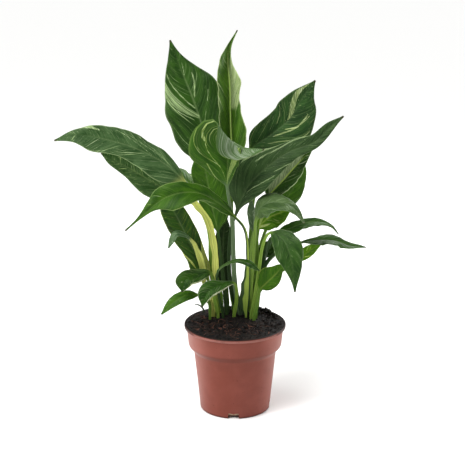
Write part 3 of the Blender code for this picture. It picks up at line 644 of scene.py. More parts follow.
        sheath=(0.6, 0.6, 0.3, 0.2, 0),
        sectors=[
            (1, 0.15, 1.0, 0.0, -0.1, 0.1, 0.32, 1.0),
            (-1, 0.5, 1.0, 0.04, 0.06, 0.04, 0.06, 0.6),
        ],
    ),
    "leaf_narrow_left": dict(
        foot=(-27, 27),
        radius=1.5,
        stem=[(-29.5, 24.5, 126), (-35.5, 15, 141), (-39.5, 4, 174.5), (-43.5, 2, 189)],
        blade=[(-51, 0, 207), (-60, -4, 214.5), (-68, -7, 216), (-77, -10, 200)],
        face=[(0, -5, 10), (0, -5, 10)],
        left=(1.5, 4, 5, 4, 1),
        right=(1.5, 4, 5, 4, 1),
        fold=(15, 15),
        curl=(-20, -20),
        wave=(0.04, 2),
        finish="silvery",
        stem_colour=STEM_YELLOW,
        streaks=0.3,
        flecks=0.2,
        pale_margin=0.3,
        sheath=(0.3, 0.5, 2, 3.4, 0.8),
        sheath_fold=20,
        sectors=[],
    ),
    "leaf_small_left": dict(
        foot=(-20, 6),
        radius=1.8,
        stem=[(-25, 0, 139)],
        blade=[(-28, -8, 169), (-45, -14, 168), (-57, -20, 165), (-61, -24, 151)],
        face=[(0, -8, 7), (0, -8, 7)],
        left=(2, 8, 10, 11, 9, 1),
        right=(2, 6, 8, 10, 10, 1),
        fold=(20, 20),
        curl=(-25, -25),
        wave=(0.06, 2),
        finish="dark",
        pale=(0.78, 0.82, 0.46),
        rib=0.0,
        deep=(0.008, 0.030, 0.004),
        mid=(0.022, 0.068, 0.005),
        stem_colour=STEM_BRIGHT,
        streaks=0.1,
        flecks=0.1,
        pale_margin=0.2,
        sheath=(1.0, 0.8, 0.4, 0),
        sectors=[
            (-1, 0.86, 1.0, 0.3, 0.3, 0.9, 0.9, 1.0),
        ],
    ),
    "leaf_low_left": dict(
        foot=(-29.5, 6),
        radius=1.6,
        stem=[(-30.5, 4, 128), (-36, 2, 139)],
        blade=[(-43, -1, 140), (-57, -9, 142), (-72, -13, 135), (-86, -16, 121)],
        face=[(0, -8, 7), (0, -8, 7)],
        left=(2, 6, 7, 6.5, 4, 1),
        right=(2, 6, 7, 7, 4.5, 1),
        fold=(12, 15),
        curl=(-20, -20),
        wave=(0.05, 2),
        finish="green",
        rib=0.05,
        stem_colour=STEM_GREEN,
        streaks=0.25,
        flecks=0.2,
        pale_margin=0.2,
        sheath=(0.4, 0.3, 0.2, 0),
        sectors=[],
    ),
    "leaf_small_front": dict(
        foot=(-1, 6),
        radius=2.0,
        stem=[(2, -1, 137)],
        blade=[(-1, -12, 158), (-17, -22, 159), (-31, -28, 153), (-38, -34, 137)],
        face=[(0, -8, 7), (0, -8, 7)],
        left=(2, 5, 8, 9, 6, 1),
        right=(2, 3, 7, 11, 9, 1),
        fold=(16, 25),
        curl=(-25, -25),
        wave=(0.05, 2),
        finish="dark",
        pale=(0.84, 0.86, 0.58),
        rib=0.0,
        stem_colour=STEM_BRIGHT,
        streaks=0.1,
        flecks=0.1,
        pale_margin=0.2,
        sheath=(0.8, 0.6, 0.3, 0),
        sectors=[
            (-1, 0.84, 1.0, 0.3, 0.3, 0.9, 0.9, 1.0),
        ],
    ),
    "leaf_upright_inner": dict(
        foot=(12, 14),
        radius=2.0,
        stem=[(13, 13, 151), (18, 8, 187)],
        blade=[(21, 7, 214), (21, 6, 231), (19.5, 5, 243), (19, 4, 255)],
        face=[(-6, -10, 1), (-6, -10, 1)],
        left=(2, 5.5, 6.5, 5, 1),
        right=(2, 5, 6, 5, 1),
        fold=(25, 25),
        curl=(-10, -10),
        wave=(0.04, 2),
        finish="silvery",
        stem_colour=STEM_BRIGHT,
        streaks=0.4,
        flecks=0.2,
        pale_margin=0.6,
        sheath=(0.8, 0.8, 0.6, 0.4, 0),
        sectors=[
            (1, 0.1, 0.9, 0.4, 0.4, 0.3, 0.3, 0.6),
        ],
    ),
    "leaf_mid_centre": dict(
        foot=(-10, 12),
        radius=2.3,
        stem=[(-13, 14, 146), (-17, 13, 184)],
        blade=[(-20, 12, 213), (-26, 15, 238), (-31, 17, 267), (-36, 16, 297), (-35, 16, 315)],
        face=[(0, -10, 2), (0, -10, 2)],
        left=(2, 8, 12, 14, 15, 16.5, 16, 9, 1),
        right=(2, 15, 20, 22, 21, 19, 15, 9, 1),
        fold=(12, 12),
        curl=(-15, -20),
        wave=(0.05, 3),
        finish="green",
        stem_colour=STEM_DARK,
        streaks=0.2,
        flecks=0.2,
        pale_margin=0.2,
        sheath=(0.8, 0.8, 0.6, 0.4, 0),
        sectors=[],
    ),
    "leaf_dark_inner": dict(
        foot=(-9, 21),
        radius=2.0,
        stem=[(-10, 22, 121)],
        blade=[(-12, 23, 137), (-14, 24, 168), (-14, 24, 200), (-11, 24, 232)],
        face=[(0, -10, 2), (0, -10, 2)],
        left=(2, 7, 9, 10, 8, 1),
        right=(2, 7, 9, 10, 8, 1),
        fold=(14, 14),
        curl=(-15, -20),
        wave=(0.04, 2),
        finish="dark",
        deep=(0.003, 0.010, 0.002),
        mid=(0.010, 0.030, 0.005),
        stem_colour=STEM_DARK,
        streaks=0.15,
        flecks=0.2,
        pale_margin=0.2,
        sheath=(0.6, 0.4, 0.2, 0),
        sectors=[],
    ),
    "leaf_back_centre": dict(
        foot=(-2, 37),
        radius=2.3,
        stem=[(-8, 50, 154), (-11, 57, 203)],
        blade=[(-13, 63, 233), (-18, 85, 249), (-23, 108, 255), (-27, 130, 247)],
        face=[(0, -2, 10), (0, 2, 10)],
        left=(2, 16, 20, 18, 9, 1),
        right=(2, 16, 20, 18, 9, 1),
        fold=(18, 18),
        curl=(-25, -25),
        wave=(0.06, 3),
        finish="dark",
        stem_colour=STEM_GREEN,
        streaks=0.38,
        flecks=0.5,
        pale_margin=0.3,
        sheath=(1.0, 1.0, 0.6, 0.2, 0),
        sectors=[
            (-1, 0.1, 0.9, 0.35, 0.4, 0.03, 0.05, 0.8),
            (1, 0.2, 0.9, 0.5, 0.55, 0.03, 0.05, 0.7),
        ],
    ),
    "leaf_back_right": dict(
        foot=(6, 35),
        radius=2.3,
        stem=[(16, 50, 161), (20, 57, 216)],
        blade=[(25, 63, 247), (40, 82, 258), (58, 104, 263), (75, 122, 259)],
        face=[(0, -2, 10), (0, 2, 10)],
        left=(2, 14, 18, 16, 8, 1),
        right=(2, 14, 18, 16, 8, 1),
        fold=(18, 18),
        curl=(-25, -25),
        wave=(0.06, 3),
        finish="dark",
        stem_colour=STEM_GREEN,
        streaks=0.36,
        flecks=0.5,
        pale_margin=0.3,
        sheath=(1.0, 1.0, 0.6, 0.2, 0),
        sectors=[
            (1, 0.1, 0.9, 0.25, 0.3, 0.04, 0.06, 0.8),
        ],
    ),
    "leaf_back_left": dict(
        foot=(-16, 33),
        radius=2.3,
        stem=[(-22, 46, 158), (-28, 52, 205)],
        blade=[(-37, 58, 236), (-54, 77, 254), (-77, 97, 267), (-100, 114, 272)],
        face=[(0, -2, 10), (0, 2, 10)],
        left=(2, 13, 17, 15, 8, 1),
        right=(2, 13, 17, 15, 8, 1),
        fold=(18, 18),
        curl=(-25, -25),
        wave=(0.06, 3),
        finish="green",
        stem_colour=STEM_GREEN,
        streaks=0.36,
        flecks=0.5,
        pale_margin=0.3,
        sheath=(1.0, 1.0, 0.6, 0.2, 0),
        sectors=[
            (-1, 0.1, 0.9, 0.4, 0.5, 0.03, 0.05, 0.8),
            (1, 0.1, 0.8, 0.2, 0.25, 0.03, 0.04, 0.7),
        ],
    ),
}
print(len(LEAVES), "leaves measured")

# %% [markdown]
# A leaf's line runs smoothly through all its points. It starts in the soil's hole and ends at the drip tip.

# %% The line of a leaf
STEM_FOOT_Z = 84 * MM
STEM_CROWN_Z = 113 * MM
POINTS_PER_SPAN = 12


def curve_through(points, per_span):
    """A smooth line through the points: centripetal Catmull-Rom, with per_span steps between each two."""
    points = [np.array(p, float) for p in points]
    points = [2 * points[0] - points[1]] + points + [2 * points[-1] - points[-2]]
    line = []
    for p0, p1, p2, p3 in zip(points, points[1:], points[2:], points[3:]):
        t0 = 0
        t1 = t0 + math.sqrt(np.linalg.norm(p1 - p0))
        t2 = t1 + math.sqrt(np.linalg.norm(p2 - p1))
        t3 = t2 + math.sqrt(np.linalg.norm(p3 - p2))
        for t in np.linspace(t1, t2, per_span, endpoint=False):
            a1 = ((t1 - t) * p0 + (t - t0) * p1) / (t1 - t0)
            a2 = ((t2 - t) * p1 + (t - t1) * p2) / (t2 - t1)
            a3 = ((t3 - t) * p2 + (t - t2) * p3) / (t3 - t2)
            b1 = ((t2 - t) * a1 + (t - t0) * a2) / (t2 - t0)
            b2 = ((t3 - t) * a2 + (t - t1) * a3) / (t3 - t1)
            line.append(((t2 - t) * b1 + (t - t1) * b2) / (t2 - t1))
    line.append(points[-2])
    return np.array(line)


def along(line, count):
    """count points spread evenly along a line, and its length."""
    steps = np.linalg.norm(np.diff(line, axis=0), axis=1)
    reach = np.concatenate([[0], np.cumsum(steps)])
    places = np.linspace(0, reach[-1], count)
    return np.stack([np.interp(places, reach, line[:, k]) for k in range(3)], axis=1), reach[-1]


def leaf_lines(leaf):
    """The stem's line above the soil and the blade's midrib, in metres."""
    crown = (*leaf["foot"], STEM_CROWN_Z / MM)
    line = curve_through([crown] + leaf["stem"] + leaf["blade"], POINTS_PER_SPAN) * MM
    joint = (1 + len(leaf["stem"])) * POINTS_PER_SPAN
    return line[: joint + 1], line[joint:]


print("longest midrib in mm:", round(max(along(leaf_lines(leaf)[1], 2)[1] for leaf in LEAVES.values()) / MM))

# %% [markdown]
# Across the line a leaf is one closed ring all the way, so its skin is a grid wrapped into a sleeve. In the stem
# the ring is nearly round, with a shallow channel on top and two thin wings that clasp the stems inside. In the
# blade it is drawn out to two thin halves with the midrib's round keel below them.

# %% The ring of a leaf
BLADE_THICKNESS = 0.5 * MM
MARGIN_THICKNESS = 0.3 * MM
STEM_AT_BLADE = 1.5 * MM
KEEL_END = 0.25 * MM
VEIN_SWEEP = 2.2  # how far a side vein runs ahead on its way to the margin, for each step outwards


def width_at(values, places):
    """Half-widths at places from 0 to 1, smooth through the even stations, in metres."""
    count = len(values) - 1
    values = np.array(values, float)
    places = np.clip(places, 0, 1)
    first = np.minimum((places * count).astype(int), count - 1)
    t = places * count - first
    before = values[np.maximum(first - 1, 0)]
    here, there = values[first], values[first + 1]
    after = values[np.minimum(first + 2, count)]
    curve = 2 * here + (there - before) * t
    curve += (2 * before - 5 * here + 4 * there - after) * t**2
    curve += (3 * here - before - 3 * there + after) * t**3
    return np.maximum(curve / 2, 0.4) * MM


def smooth(low, high, x):
    t = np.clip((x - low) / (high - low), 0, 1)
    return t * t * (3 - 2 * t)


def unit(vectors):
    return vectors / np.linalg.norm(vectors, axis=-1, keepdims=True)


def leaf_stations(leaf, rows):
    """Points from the foot to the tip with their place (-1 foot, 0 blade's base, 1 tip), and the frames there."""
    stem, midrib = leaf_lines(leaf)
    stem_length = along(stem, 2)[1]
    blade_length = along(midrib, 2)[1]
    stem_rows = max(8, round(stem_length / (7 * MM)))
    stem_points = along(stem, stem_rows + 1)[0]
    rib_points = along(midrib, rows + 1)[0]
    foot = np.array([[leaf["foot"][0] * MM, leaf["foot"][1] * MM, STEM_FOOT_Z]])
    points = np.concatenate([foot, stem_points, rib_points[1:]])
    place = np.concatenate([[-1.1], np.linspace(-1, 0, stem_rows + 1), np.linspace(0, 1, rows + 1)[1:]])
    ahead = unit(np.gradient(points, axis=0))
    face = unit(np.array(leaf["face"], float))
    stations = np.linspace(0, 1, len(face))
    up = np.stack([np.interp(place, stations, face[:, k]) for k in range(3)], axis=1)
    up -= (up * ahead).sum(axis=1)[:, None] * ahead
    up = unit(up)
    return points, place, ahead, up, np.cross(ahead, up), blade_length


def vein_root(place, share, widest, length):
    """Where on the midrib the side vein through a point starts: veins sweep ahead on their way to the margin."""
    sweep = np.clip(VEIN_SWEEP * widest / length, 0.2, 0.52)
    swept = sweep * share**1.1
    return (place - swept) / (1 - swept)


def leaf_rings(leaf, rows, half, seed):
    """All rings of a leaf as points, with what the finish reads: place, share of the width, vein and masks."""
    points, place, ahead, up, across, length = leaf_stations(leaf, rows)
    place = place[:, None]
    on_blade = np.clip(place, 0, 1)
    petiole = 1 - smooth(-0.06, 0.10, place)
    steps = np.arange(-half, half + 1) / half
    crowded = np.sign(steps) * np.abs(steps) ** 1.6
    share = crowded * (1 - petiole) + np.sin(steps * math.pi / 2) * petiole
    size = np.abs(share)
    side = np.where(steps < 0, 0, 1)[None, :]

    down_stem = np.clip(1 + place, 0, 1)
    foot_radius = leaf["radius"] * MM
    stem_radius = foot_radius + (min(foot_radius, STEM_AT_BLADE) - foot_radius) * down_stem
    keel = STEM_AT_BLADE * (1 - on_blade) ** 1.5 * np.exp(-1.2 * on_blade) + KEEL_END
    radius = np.where(place < 0, stem_radius, np.minimum(keel, stem_radius))
    sheath = np.interp(down_stem[:, 0], np.linspace(0, 1, len(leaf["sheath"])), leaf["sheath"])[:, None] * MM
    sheath = sheath * np.where(side == 0, *leaf.get("sheath_sides", (1, 1)))
    sheath = sheath * smooth(-1.0, -0.93, place) * petiole
    ruffle = 1 + 0.25 * np.sin(41 * place + seed) * petiole
    left = width_at(leaf["left"], on_blade[:, 0])[:, None]
    right = width_at(leaf["right"], on_blade[:, 0])[:, None]
    blade_width = np.where(side == 0, left, right)
    width = blade_width * (1 - petiole) + (radius + sheath * ruffle) * petiole

    wing = petiole * sheath / (sheath + 1.0 * MM)
    fold = np.where(side == 0, leaf["fold"][0], leaf["fold"][1]) * (1 - petiole)
    fold = fold + leaf.get("sheath_fold", 62) * wing
    curl = np.where(side == 0, leaf["curl"][0], leaf["curl"][1]) * (1 - petiole) + 40 * wing - 3 * petiole
    start, turn = np.radians(fold), np.radians(curl)
    out = (np.sin(start + turn * size) - np.sin(start)) / turn
    rise = (np.cos(start) - np.cos(start + turn * size)) / turn
    height, number = leaf["wave"]
    swell = np.sqrt(np.sin(math.pi * on_blade)) * size**2
    rise = rise + height * swell * np.sin(math.tau * number * on_blade + 2.1 * side)

    signed = np.where(steps < 0, -1, 1)[None, :]
    middle = points[:, None, :] + across[:, None, :] * (signed * width * out)[..., None]
    middle += up[:, None, :] * (width * rise)[..., None]
    slope = start + turn * size
    normal = up[:, None, :] * np.cos(slope)[..., None] - across[:, None, :] * (signed * np.sin(slope))[..., None]

    widest = np.where(side == 0, max(leaf["left"]), max(leaf["right"])) * MM
    root = vein_root(on_blade, size, widest, length)
    vein = root * leaf_veins(length)
    distance = size * width
    broad = smooth(3 * MM, 12 * MM, width) * (1 - petiole)
    puff = 0.5 - np.abs(np.cos(math.pi * vein)) ** 6
    puff *= 0.28 * MM * broad * smooth(0.0, 0.25, size) * (1 - 0.7 * smooth(0.8, 1, size))
    ripple = np.sin(math.tau * (5.3 + seed % 3) * on_blade + 1.7 * side + seed)
    ripple += 0.7 * np.sin(math.tau * (11.7 - seed % 4) * on_blade + seed * 2.3 + side)
    ripple *= 0.5 * MM * broad * size**3 * np.sqrt(np.sin(math.pi * on_blade))
    middle = middle + normal * (puff + ripple)[..., None]

    round_keel = np.sqrt(np.maximum(radius**2 - distance**2, 0))
    soft_keel = radius * np.exp(-1.1 * (distance / radius) ** 2)
    keel_depth = round_keel * petiole + soft_keel * (1 - petiole)
    thickness = BLADE_THICKNESS + (MARGIN_THICKNESS - BLADE_THICKNESS) * smooth(0.6, 1, size)
    channel = 0.45 * radius * np.exp(-((distance / (0.55 * radius)) ** 2))
    top = thickness / 2 + 0.8 * round_keel * petiole - channel * (0.4 + 0.6 * petiole) * (place > -1.05)
    upper = middle + normal * top[..., None]
    lower = middle - normal * (thickness / 2 + keel_depth)[..., None]

    rings = np.concatenate([upper, lower[:, ::-1], upper[:, :1]], axis=1)
    share = np.broadcast_to(share, width.shape)
    place = np.broadcast_to(place, width.shape)
    rib = np.exp(-((distance / (leaf.get("rib_width", 0.9) * MM)) ** 2)) * (1 - smooth(0.55, 0.95, on_blade)) * 0.75
    stalk = np.broadcast_to(petiole, width.shape)

    def both_sides(values):
        return np.concatenate([values, values[:, ::-1], values[:, :1]], axis=1)

    under = np.concatenate([np.zeros(width.shape), np.ones(width.shape), np.zeros((len(width), 1))], axis=1)
    leaf_place = np.stack([both_sides(place), both_sides(share), both_sides(vein)], axis=2)
    leaf_paint = np.stack([both_sides(root), both_sides(stalk), under], axis=2)
    leaf_rib = np.repeat(both_sides(rib * (1 - petiole))[..., None], 3, axis=2)
    return rings, leaf_place, leaf_paint, leaf_rib


def leaf_veins(length):
    """How many side veins a half blade has: about one each 8 mm."""
    return max(5, round(length / (8 * MM)))


print("the top left leaf has", leaf_veins(along(leaf_lines(LEAVES["leaf_top_left"])[1], 2)[1]), "side veins a half")

# %% [markdown]
# ## How a variegated leaf is coloured
# The pattern follows the side veins, not the room, so it reads three values that the skin carries at each point:
# the place from base to tip, the share of the half-width, and the count of side veins. Pale streaks are long along
# a vein and narrow across it, flecks are short dashes, and the pale sectors open the streaks up until
# they run together.

# %% Small helpers for node trees


def calculate(tree, operation, first, second=0.0, third=0.0):
    return add_node(tree, "ShaderNodeMath", {"operation": operation}, {0: first, 1: second, 2: third}).outputs[0]


def between(tree, value, low, high, low_result=0.0, high_result=1.0):
    """A soft step from one result to the other as the value goes from low to high."""
    sockets = {"Value": value, "From Min": low, "From Max": high, "To Min": low_result, "To Max": high_result}
    return add_node(tree, "ShaderNodeMapRange", {"interpolation_type": "SMOOTHSTEP"}, sockets).outputs[0]


def mixed(tree, amount, first, second, how="MIX"):
    return add_node(tree, "ShaderNodeMix", {"data_type": "RGBA", "blend_type": how}, {0: amount, 6: first, 7: second}).outputs[2]


def vector(tree, x, y, z):
    return add_node(tree, "ShaderNodeCombineXYZ", {}, {0: x, 1: y, 2: z}).outputs[0]


def noise_value(tree, place, scale, detail=2.0, roughness=0.5):
    sockets = {"Vector": place, "Scale": scale, "Detail": detail, "Roughness": roughness}
    return add_node(tree, "ShaderNodeTexNoise", {}, sockets).outputs[0]


def new_group(name, inputs, outputs):
    """A shader node group with its named sockets, and its input and output nodes."""
    group = bpy.data.node_groups.new(name, "ShaderNodeTree")
    for socket, kind in inputs:
        group.interface.new_socket(socket, in_out="INPUT", socket_type="NodeSocket" + kind)
    for socket, kind in outputs:
        group.interface.new_socket(socket, in_out="OUTPUT", socket_type="NodeSocket" + kind)
    return group, group.nodes.new("NodeGroupInput").outputs, group.nodes.new("NodeGroupOutput").inputs


print("node helpers ready")

# %% [markdown]
# A pale sector is a stroke over the side veins. It starts at one share of the half-width and ends at another, and
# at both it has a place, given where its side vein leaves the midrib, and a half breadth.

# %% A pale stroke
pale_stroke, given, result = new_group(
    "pale_stroke",
    [
        ("Mask", "Float"),
        ("Root", "Float"),
        ("Reach", "Float"),
        ("Inner", "Float"),
        ("Outer", "Float"),
        ("First root", "Float"),
        ("Last root", "Float"),
        ("First breadth", "Float"),
        ("Last breadth", "Float"),
        ("Strength", "Float"),
    ],
    [("Mask", "Float")],
)
tree = pale_stroke
way = add_node(tree, "ShaderNodeMapRange", {}, {"Value": given["Reach"], "From Min": given["Inner"], "From Max": given["Outer"]}).outputs[0]
middle = add_node(tree, "ShaderNodeMapRange", {}, {"Value": way, "To Min": given["First root"], "To Max": given["Last root"]}).outputs[0]
breadth = add_node(tree, "ShaderNodeMapRange", {}, {"Value": way, "To Min": given["First breadth"], "To Max": given["Last breadth"]}).outputs[0]
off = calculate(tree, "ABSOLUTE", calculate(tree, "SUBTRACT", given["Root"], middle))
inside = between(tree, calculate(tree, "DIVIDE", off, breadth), 0.55, 1.25, 1.0, 0.0)
before = between(tree, calculate(tree, "SUBTRACT", given["Reach"], given["Inner"]), -0.08, 0.03)
after = between(tree, calculate(tree, "SUBTRACT", given["Reach"], given["Outer"]), -0.03, 0.06, 1.0, 0.0)
inside = calculate(tree, "MULTIPLY", calculate(tree, "MULTIPLY", inside, before), calculate(tree, "MULTIPLY", after, given["Strength"]))
tree.links.new(calculate(tree, "MAXIMUM", inside, given["Mask"]), result["Mask"])
print("pale stroke:", len(pale_stroke.nodes), "nodes")

# %% The leaf pattern
leaf_pattern, given, result = new_group(
    "leaf_pattern",
    [
        ("Place", "Vector"),
        ("Paint", "Vector"),
        ("Rib", "Float"),
        ("Sector", "Float"),
        ("Deep", "Color"),
        ("Mid", "Color"),
        ("Pale", "Color"),
        ("Stem", "Color"),
        ("Wing", "Color"),
        ("Pale below", "Color"),
        ("Rib color", "Color"),
        ("Streaks", "Float"),
        ("Flecks", "Float"),
        ("Pale margin", "Float"),
        ("Seed", "Float"),
    ],
    [("Color", "Color"), ("Roughness", "Float"), ("Height", "Float")],
)
tree = leaf_pattern
place_parts = add_node(tree, "ShaderNodeSeparateXYZ", {}, {0: given["Place"]}).outputs
paint_parts = add_node(tree, "ShaderNodeSeparateXYZ", {}, {0: given["Paint"]}).outputs
base_to_tip, share, vein_count = place_parts[0], place_parts[1], place_parts[2]
pale_sector, stalk, under = given["Sector"], paint_parts[1], paint_parts[2]
from_midrib = calculate(tree, "ABSOLUTE", share)


def along_veins(across_scale, along_scale, shift):
    """Coordinates that are fine across the side veins and long along them."""
    count = calculate(leaf_pattern, "MULTIPLY", vein_count, across_scale)
    reach = calculate(leaf_pattern, "MULTIPLY", share, along_scale)
    seed = calculate(leaf_pattern, "ADD", given["Seed"], shift)
    return vector(leaf_pattern, count, reach, seed)


broad_noise = noise_value(tree, along_veins(1.7, 0.5, 0.0), 1.0, 2.0, 0.5)
fine_noise = noise_value(tree, along_veins(4.6, 0.8, 7.3), 1.0, 2.0, 0.5)
line_noise = noise_value(tree, along_veins(8.0, 0.7, 23.0), 1.0, 2.0, 0.5)
dash_noise = noise_value(tree, along_veins(6.0, 5.0, 3.1), 1.0, 1.0, 0.5)
patch_noise = noise_value(tree, along_veins(0.45, 1.3, 11.0), 1.0, 3.0, 0.6)

opened = calculate(tree, "MULTIPLY", pale_sector, -0.12)
broad_limit = calculate(tree, "ADD", calculate(tree, "MULTIPLY_ADD", given["Streaks"], -0.24, 0.76), opened)
fine_limit = calculate(tree, "ADD", calculate(tree, "MULTIPLY_ADD", given["Streaks"], -0.22, 0.74), opened)
dash_limit = calculate(tree, "MULTIPLY_ADD", given["Flecks"], -0.12, 0.75)
off_midrib = between(tree, from_midrib, 0.03, 0.22, 0.25, 1.0)
broad_streak = between(tree, calculate(tree, "SUBTRACT", broad_noise, broad_limit), -0.03, 0.05)
broad_streak = calculate(tree, "MULTIPLY", broad_streak, off_midrib)
fine_streak = between(tree, calculate(tree, "SUBTRACT", fine_noise, fine_limit), -0.02, 0.06)
dash = between(tree, calculate(tree, "SUBTRACT", dash_noise, dash_limit), 0.0, 0.05)
fine_streak = calculate(tree, "MULTIPLY", calculate(tree, "MULTIPLY", fine_streak, 0.6), off_midrib)
streak = calculate(tree, "MAXIMUM", broad_streak, fine_streak)
streak = calculate(tree, "MAXIMUM", streak, calculate(tree, "MULTIPLY", dash, 0.6))
edge_noise = noise_value(tree, along_veins(3.0, 1.6, 17.0), 1.0, 3.0, 0.6)
ragged = calculate(tree, "MULTIPLY_ADD", calculate(tree, "SUBTRACT", edge_noise, 0.5), 0.9, pale_sector)
painted = between(tree, ragged, 0.35, 0.70)
painted = calculate(tree, "MULTIPLY", painted, between(tree, line_noise, 0.40, 0.58, 0.30, 1.0))
streak = calculate(tree, "MAXIMUM", streak, painted)
grain = noise_value(tree, along_veins(11.0, 6.0, 5.0), 1.0, 2.0, 0.6)
streak = calculate(tree, "MULTIPLY", streak, between(tree, grain, 0.25, 0.62, 0.55, 1.0))

vein_line = calculate(tree, "ABSOLUTE", calculate(tree, "COSINE", calculate(tree, "MULTIPLY", vein_count, math.pi)))
vein_fine = calculate(tree, "POWER", vein_line, 40.0)
vein_soft = calculate(tree, "POWER", vein_line, 8.0)

green = mixed(tree, between(tree, patch_noise, 0.36, 0.64), given["Deep"], given["Mid"])
green = mixed(tree, calculate(tree, "MULTIPLY", vein_fine, 0.35), green, given["Mid"])
green = mixed(tree, between(tree, line_noise, 0.32, 0.50, 0.5, 0.0), green, given["Deep"])
green = mixed(tree, between(tree, fine_noise, 0.52, 0.70, 0.0, 0.35), green, given["Mid"])
green = mixed(tree, between(tree, line_noise, 0.55, 0.72, 0.0, 0.12), green, given["Pale"])
green = mixed(tree, between(tree, grain, 0.3, 0.7, 0.0, 0.22), green, given["Mid"])
pale = mixed(tree, under, given["Pale"], given["Pale below"])
mottle = calculate(tree, "MULTIPLY_ADD", under, 0.25, 0.5)
pale = mixed(tree, calculate(tree, "MULTIPLY", between(tree, fine_noise, 0.35, 0.65), mottle), pale, given["Mid"])
bright_line = calculate(tree, "MULTIPLY", between(tree, line_noise, 0.56, 0.68, 0.0, 0.55), between(tree, under, 0.0, 1.0, 1.0, 0.3))
pale = mixed(tree, bright_line, pale, (0.66, 0.74, 0.50, 1))
colour = mixed(tree, streak, green, pale)
margin = between(tree, from_midrib, 0.94, 0.985)
colour = mixed(tree, calculate(tree, "MULTIPLY", margin, given["Pale margin"]), colour, given["Pale"])
under_green = mixed(tree, 0.14, given["Mid"], (0.30, 0.36, 0.26, 1))
under_colour = mixed(tree, calculate(tree, "MULTIPLY_ADD", streak, 0.55, 0.35), under_green, colour)
colour = mixed(tree, under, colour, under_colour)
stem_place = vector(tree, calculate(tree, "MULTIPLY", share, 4.0), calculate(tree, "MULTIPLY", base_to_tip, 1.5), given["Seed"])
stem_streak = noise_value(tree, stem_place, 1.6, 3.0, 0.6)
stem_base = mixed(tree, between(tree, from_midrib, 0.42, 0.6), given["Stem"], given["Wing"])
stem_colour = mixed(tree, between(tree, stem_streak, 0.42, 0.72, 0.0, 0.45), stem_base, given["Mid"])
colour = mixed(tree, given["Rib"], colour, given["Rib color"])
colour = mixed(tree, stalk, colour, stem_colour)
tip = between(tree, base_to_tip, 0.972, 0.992)
colour = mixed(tree, calculate(tree, "MULTIPLY", tip, 0.8), colour, (0.045, 0.035, 0.018, 1))
tree.links.new(colour, result["Color"])

rough = between(tree, patch_noise, 0.3, 0.7, 0.34, 0.46)
rough = calculate(tree, "MULTIPLY_ADD", under, 0.12, rough)
rough = calculate(tree, "MULTIPLY_ADD", streak, 0.06, rough)
tree.links.new(rough, result["Roughness"])

fine_rib = calculate(tree, "SINE", calculate(tree, "MULTIPLY", vein_count, math.tau * 7))
blade_height = calculate(tree, "MULTIPLY_ADD", vein_soft, -0.55, calculate(tree, "MULTIPLY", fine_rib, 0.07))
blade_height = calculate(tree, "MULTIPLY", blade_height, calculate(tree, "MULTIPLY_ADD", under, -1.4, 1.0))
stem_rib = calculate(tree, "MULTIPLY", calculate(tree, "SINE", calculate(tree, "MULTIPLY", share, 26.0)), 0.18)
off_stalk = calculate(tree, "SUBTRACT", 1.0, stalk)
height = calculate(tree, "MULTIPLY", blade_height, off_stalk)
height = calculate(tree, "MULTIPLY_ADD", stem_rib, stalk, height)
height = calculate(tree, "MULTIPLY_ADD", grain, 0.10, height)
tree.links.new(height, result["Height"])
print("leaf pattern:", len(leaf_pattern.nodes), "nodes")

# %% [markdown]
# Each leaf has its own material: the same pattern with the leaf's own greens, so no two leaves repeat.

# %% A leaf's material


def painted_sectors(tree, place, paint, sectors):
    """The strokes of a leaf one after another, each on its side of the midrib (-1 left, 1 right)."""
    share = add_node(tree, "ShaderNodeSeparateXYZ", {}, {0: place}).outputs[1]
    root = add_node(tree, "ShaderNodeSeparateXYZ", {}, {0: paint}).outputs[0]
    mask = 0.0
    for side, *values in sectors:
        names = ["Inner", "Outer", "First root", "Last root", "First breadth", "Last breadth", "Strength"]
        sockets = {"Mask": mask, "Root": root, "Reach": calculate(tree, "MULTIPLY", share, side)}
        sockets |= {name: float(value) for name, value in zip(names, values)}
        mask = add_node(tree, "ShaderNodeGroup", {"node_tree": pale_stroke}, sockets).outputs[0]
    return mask


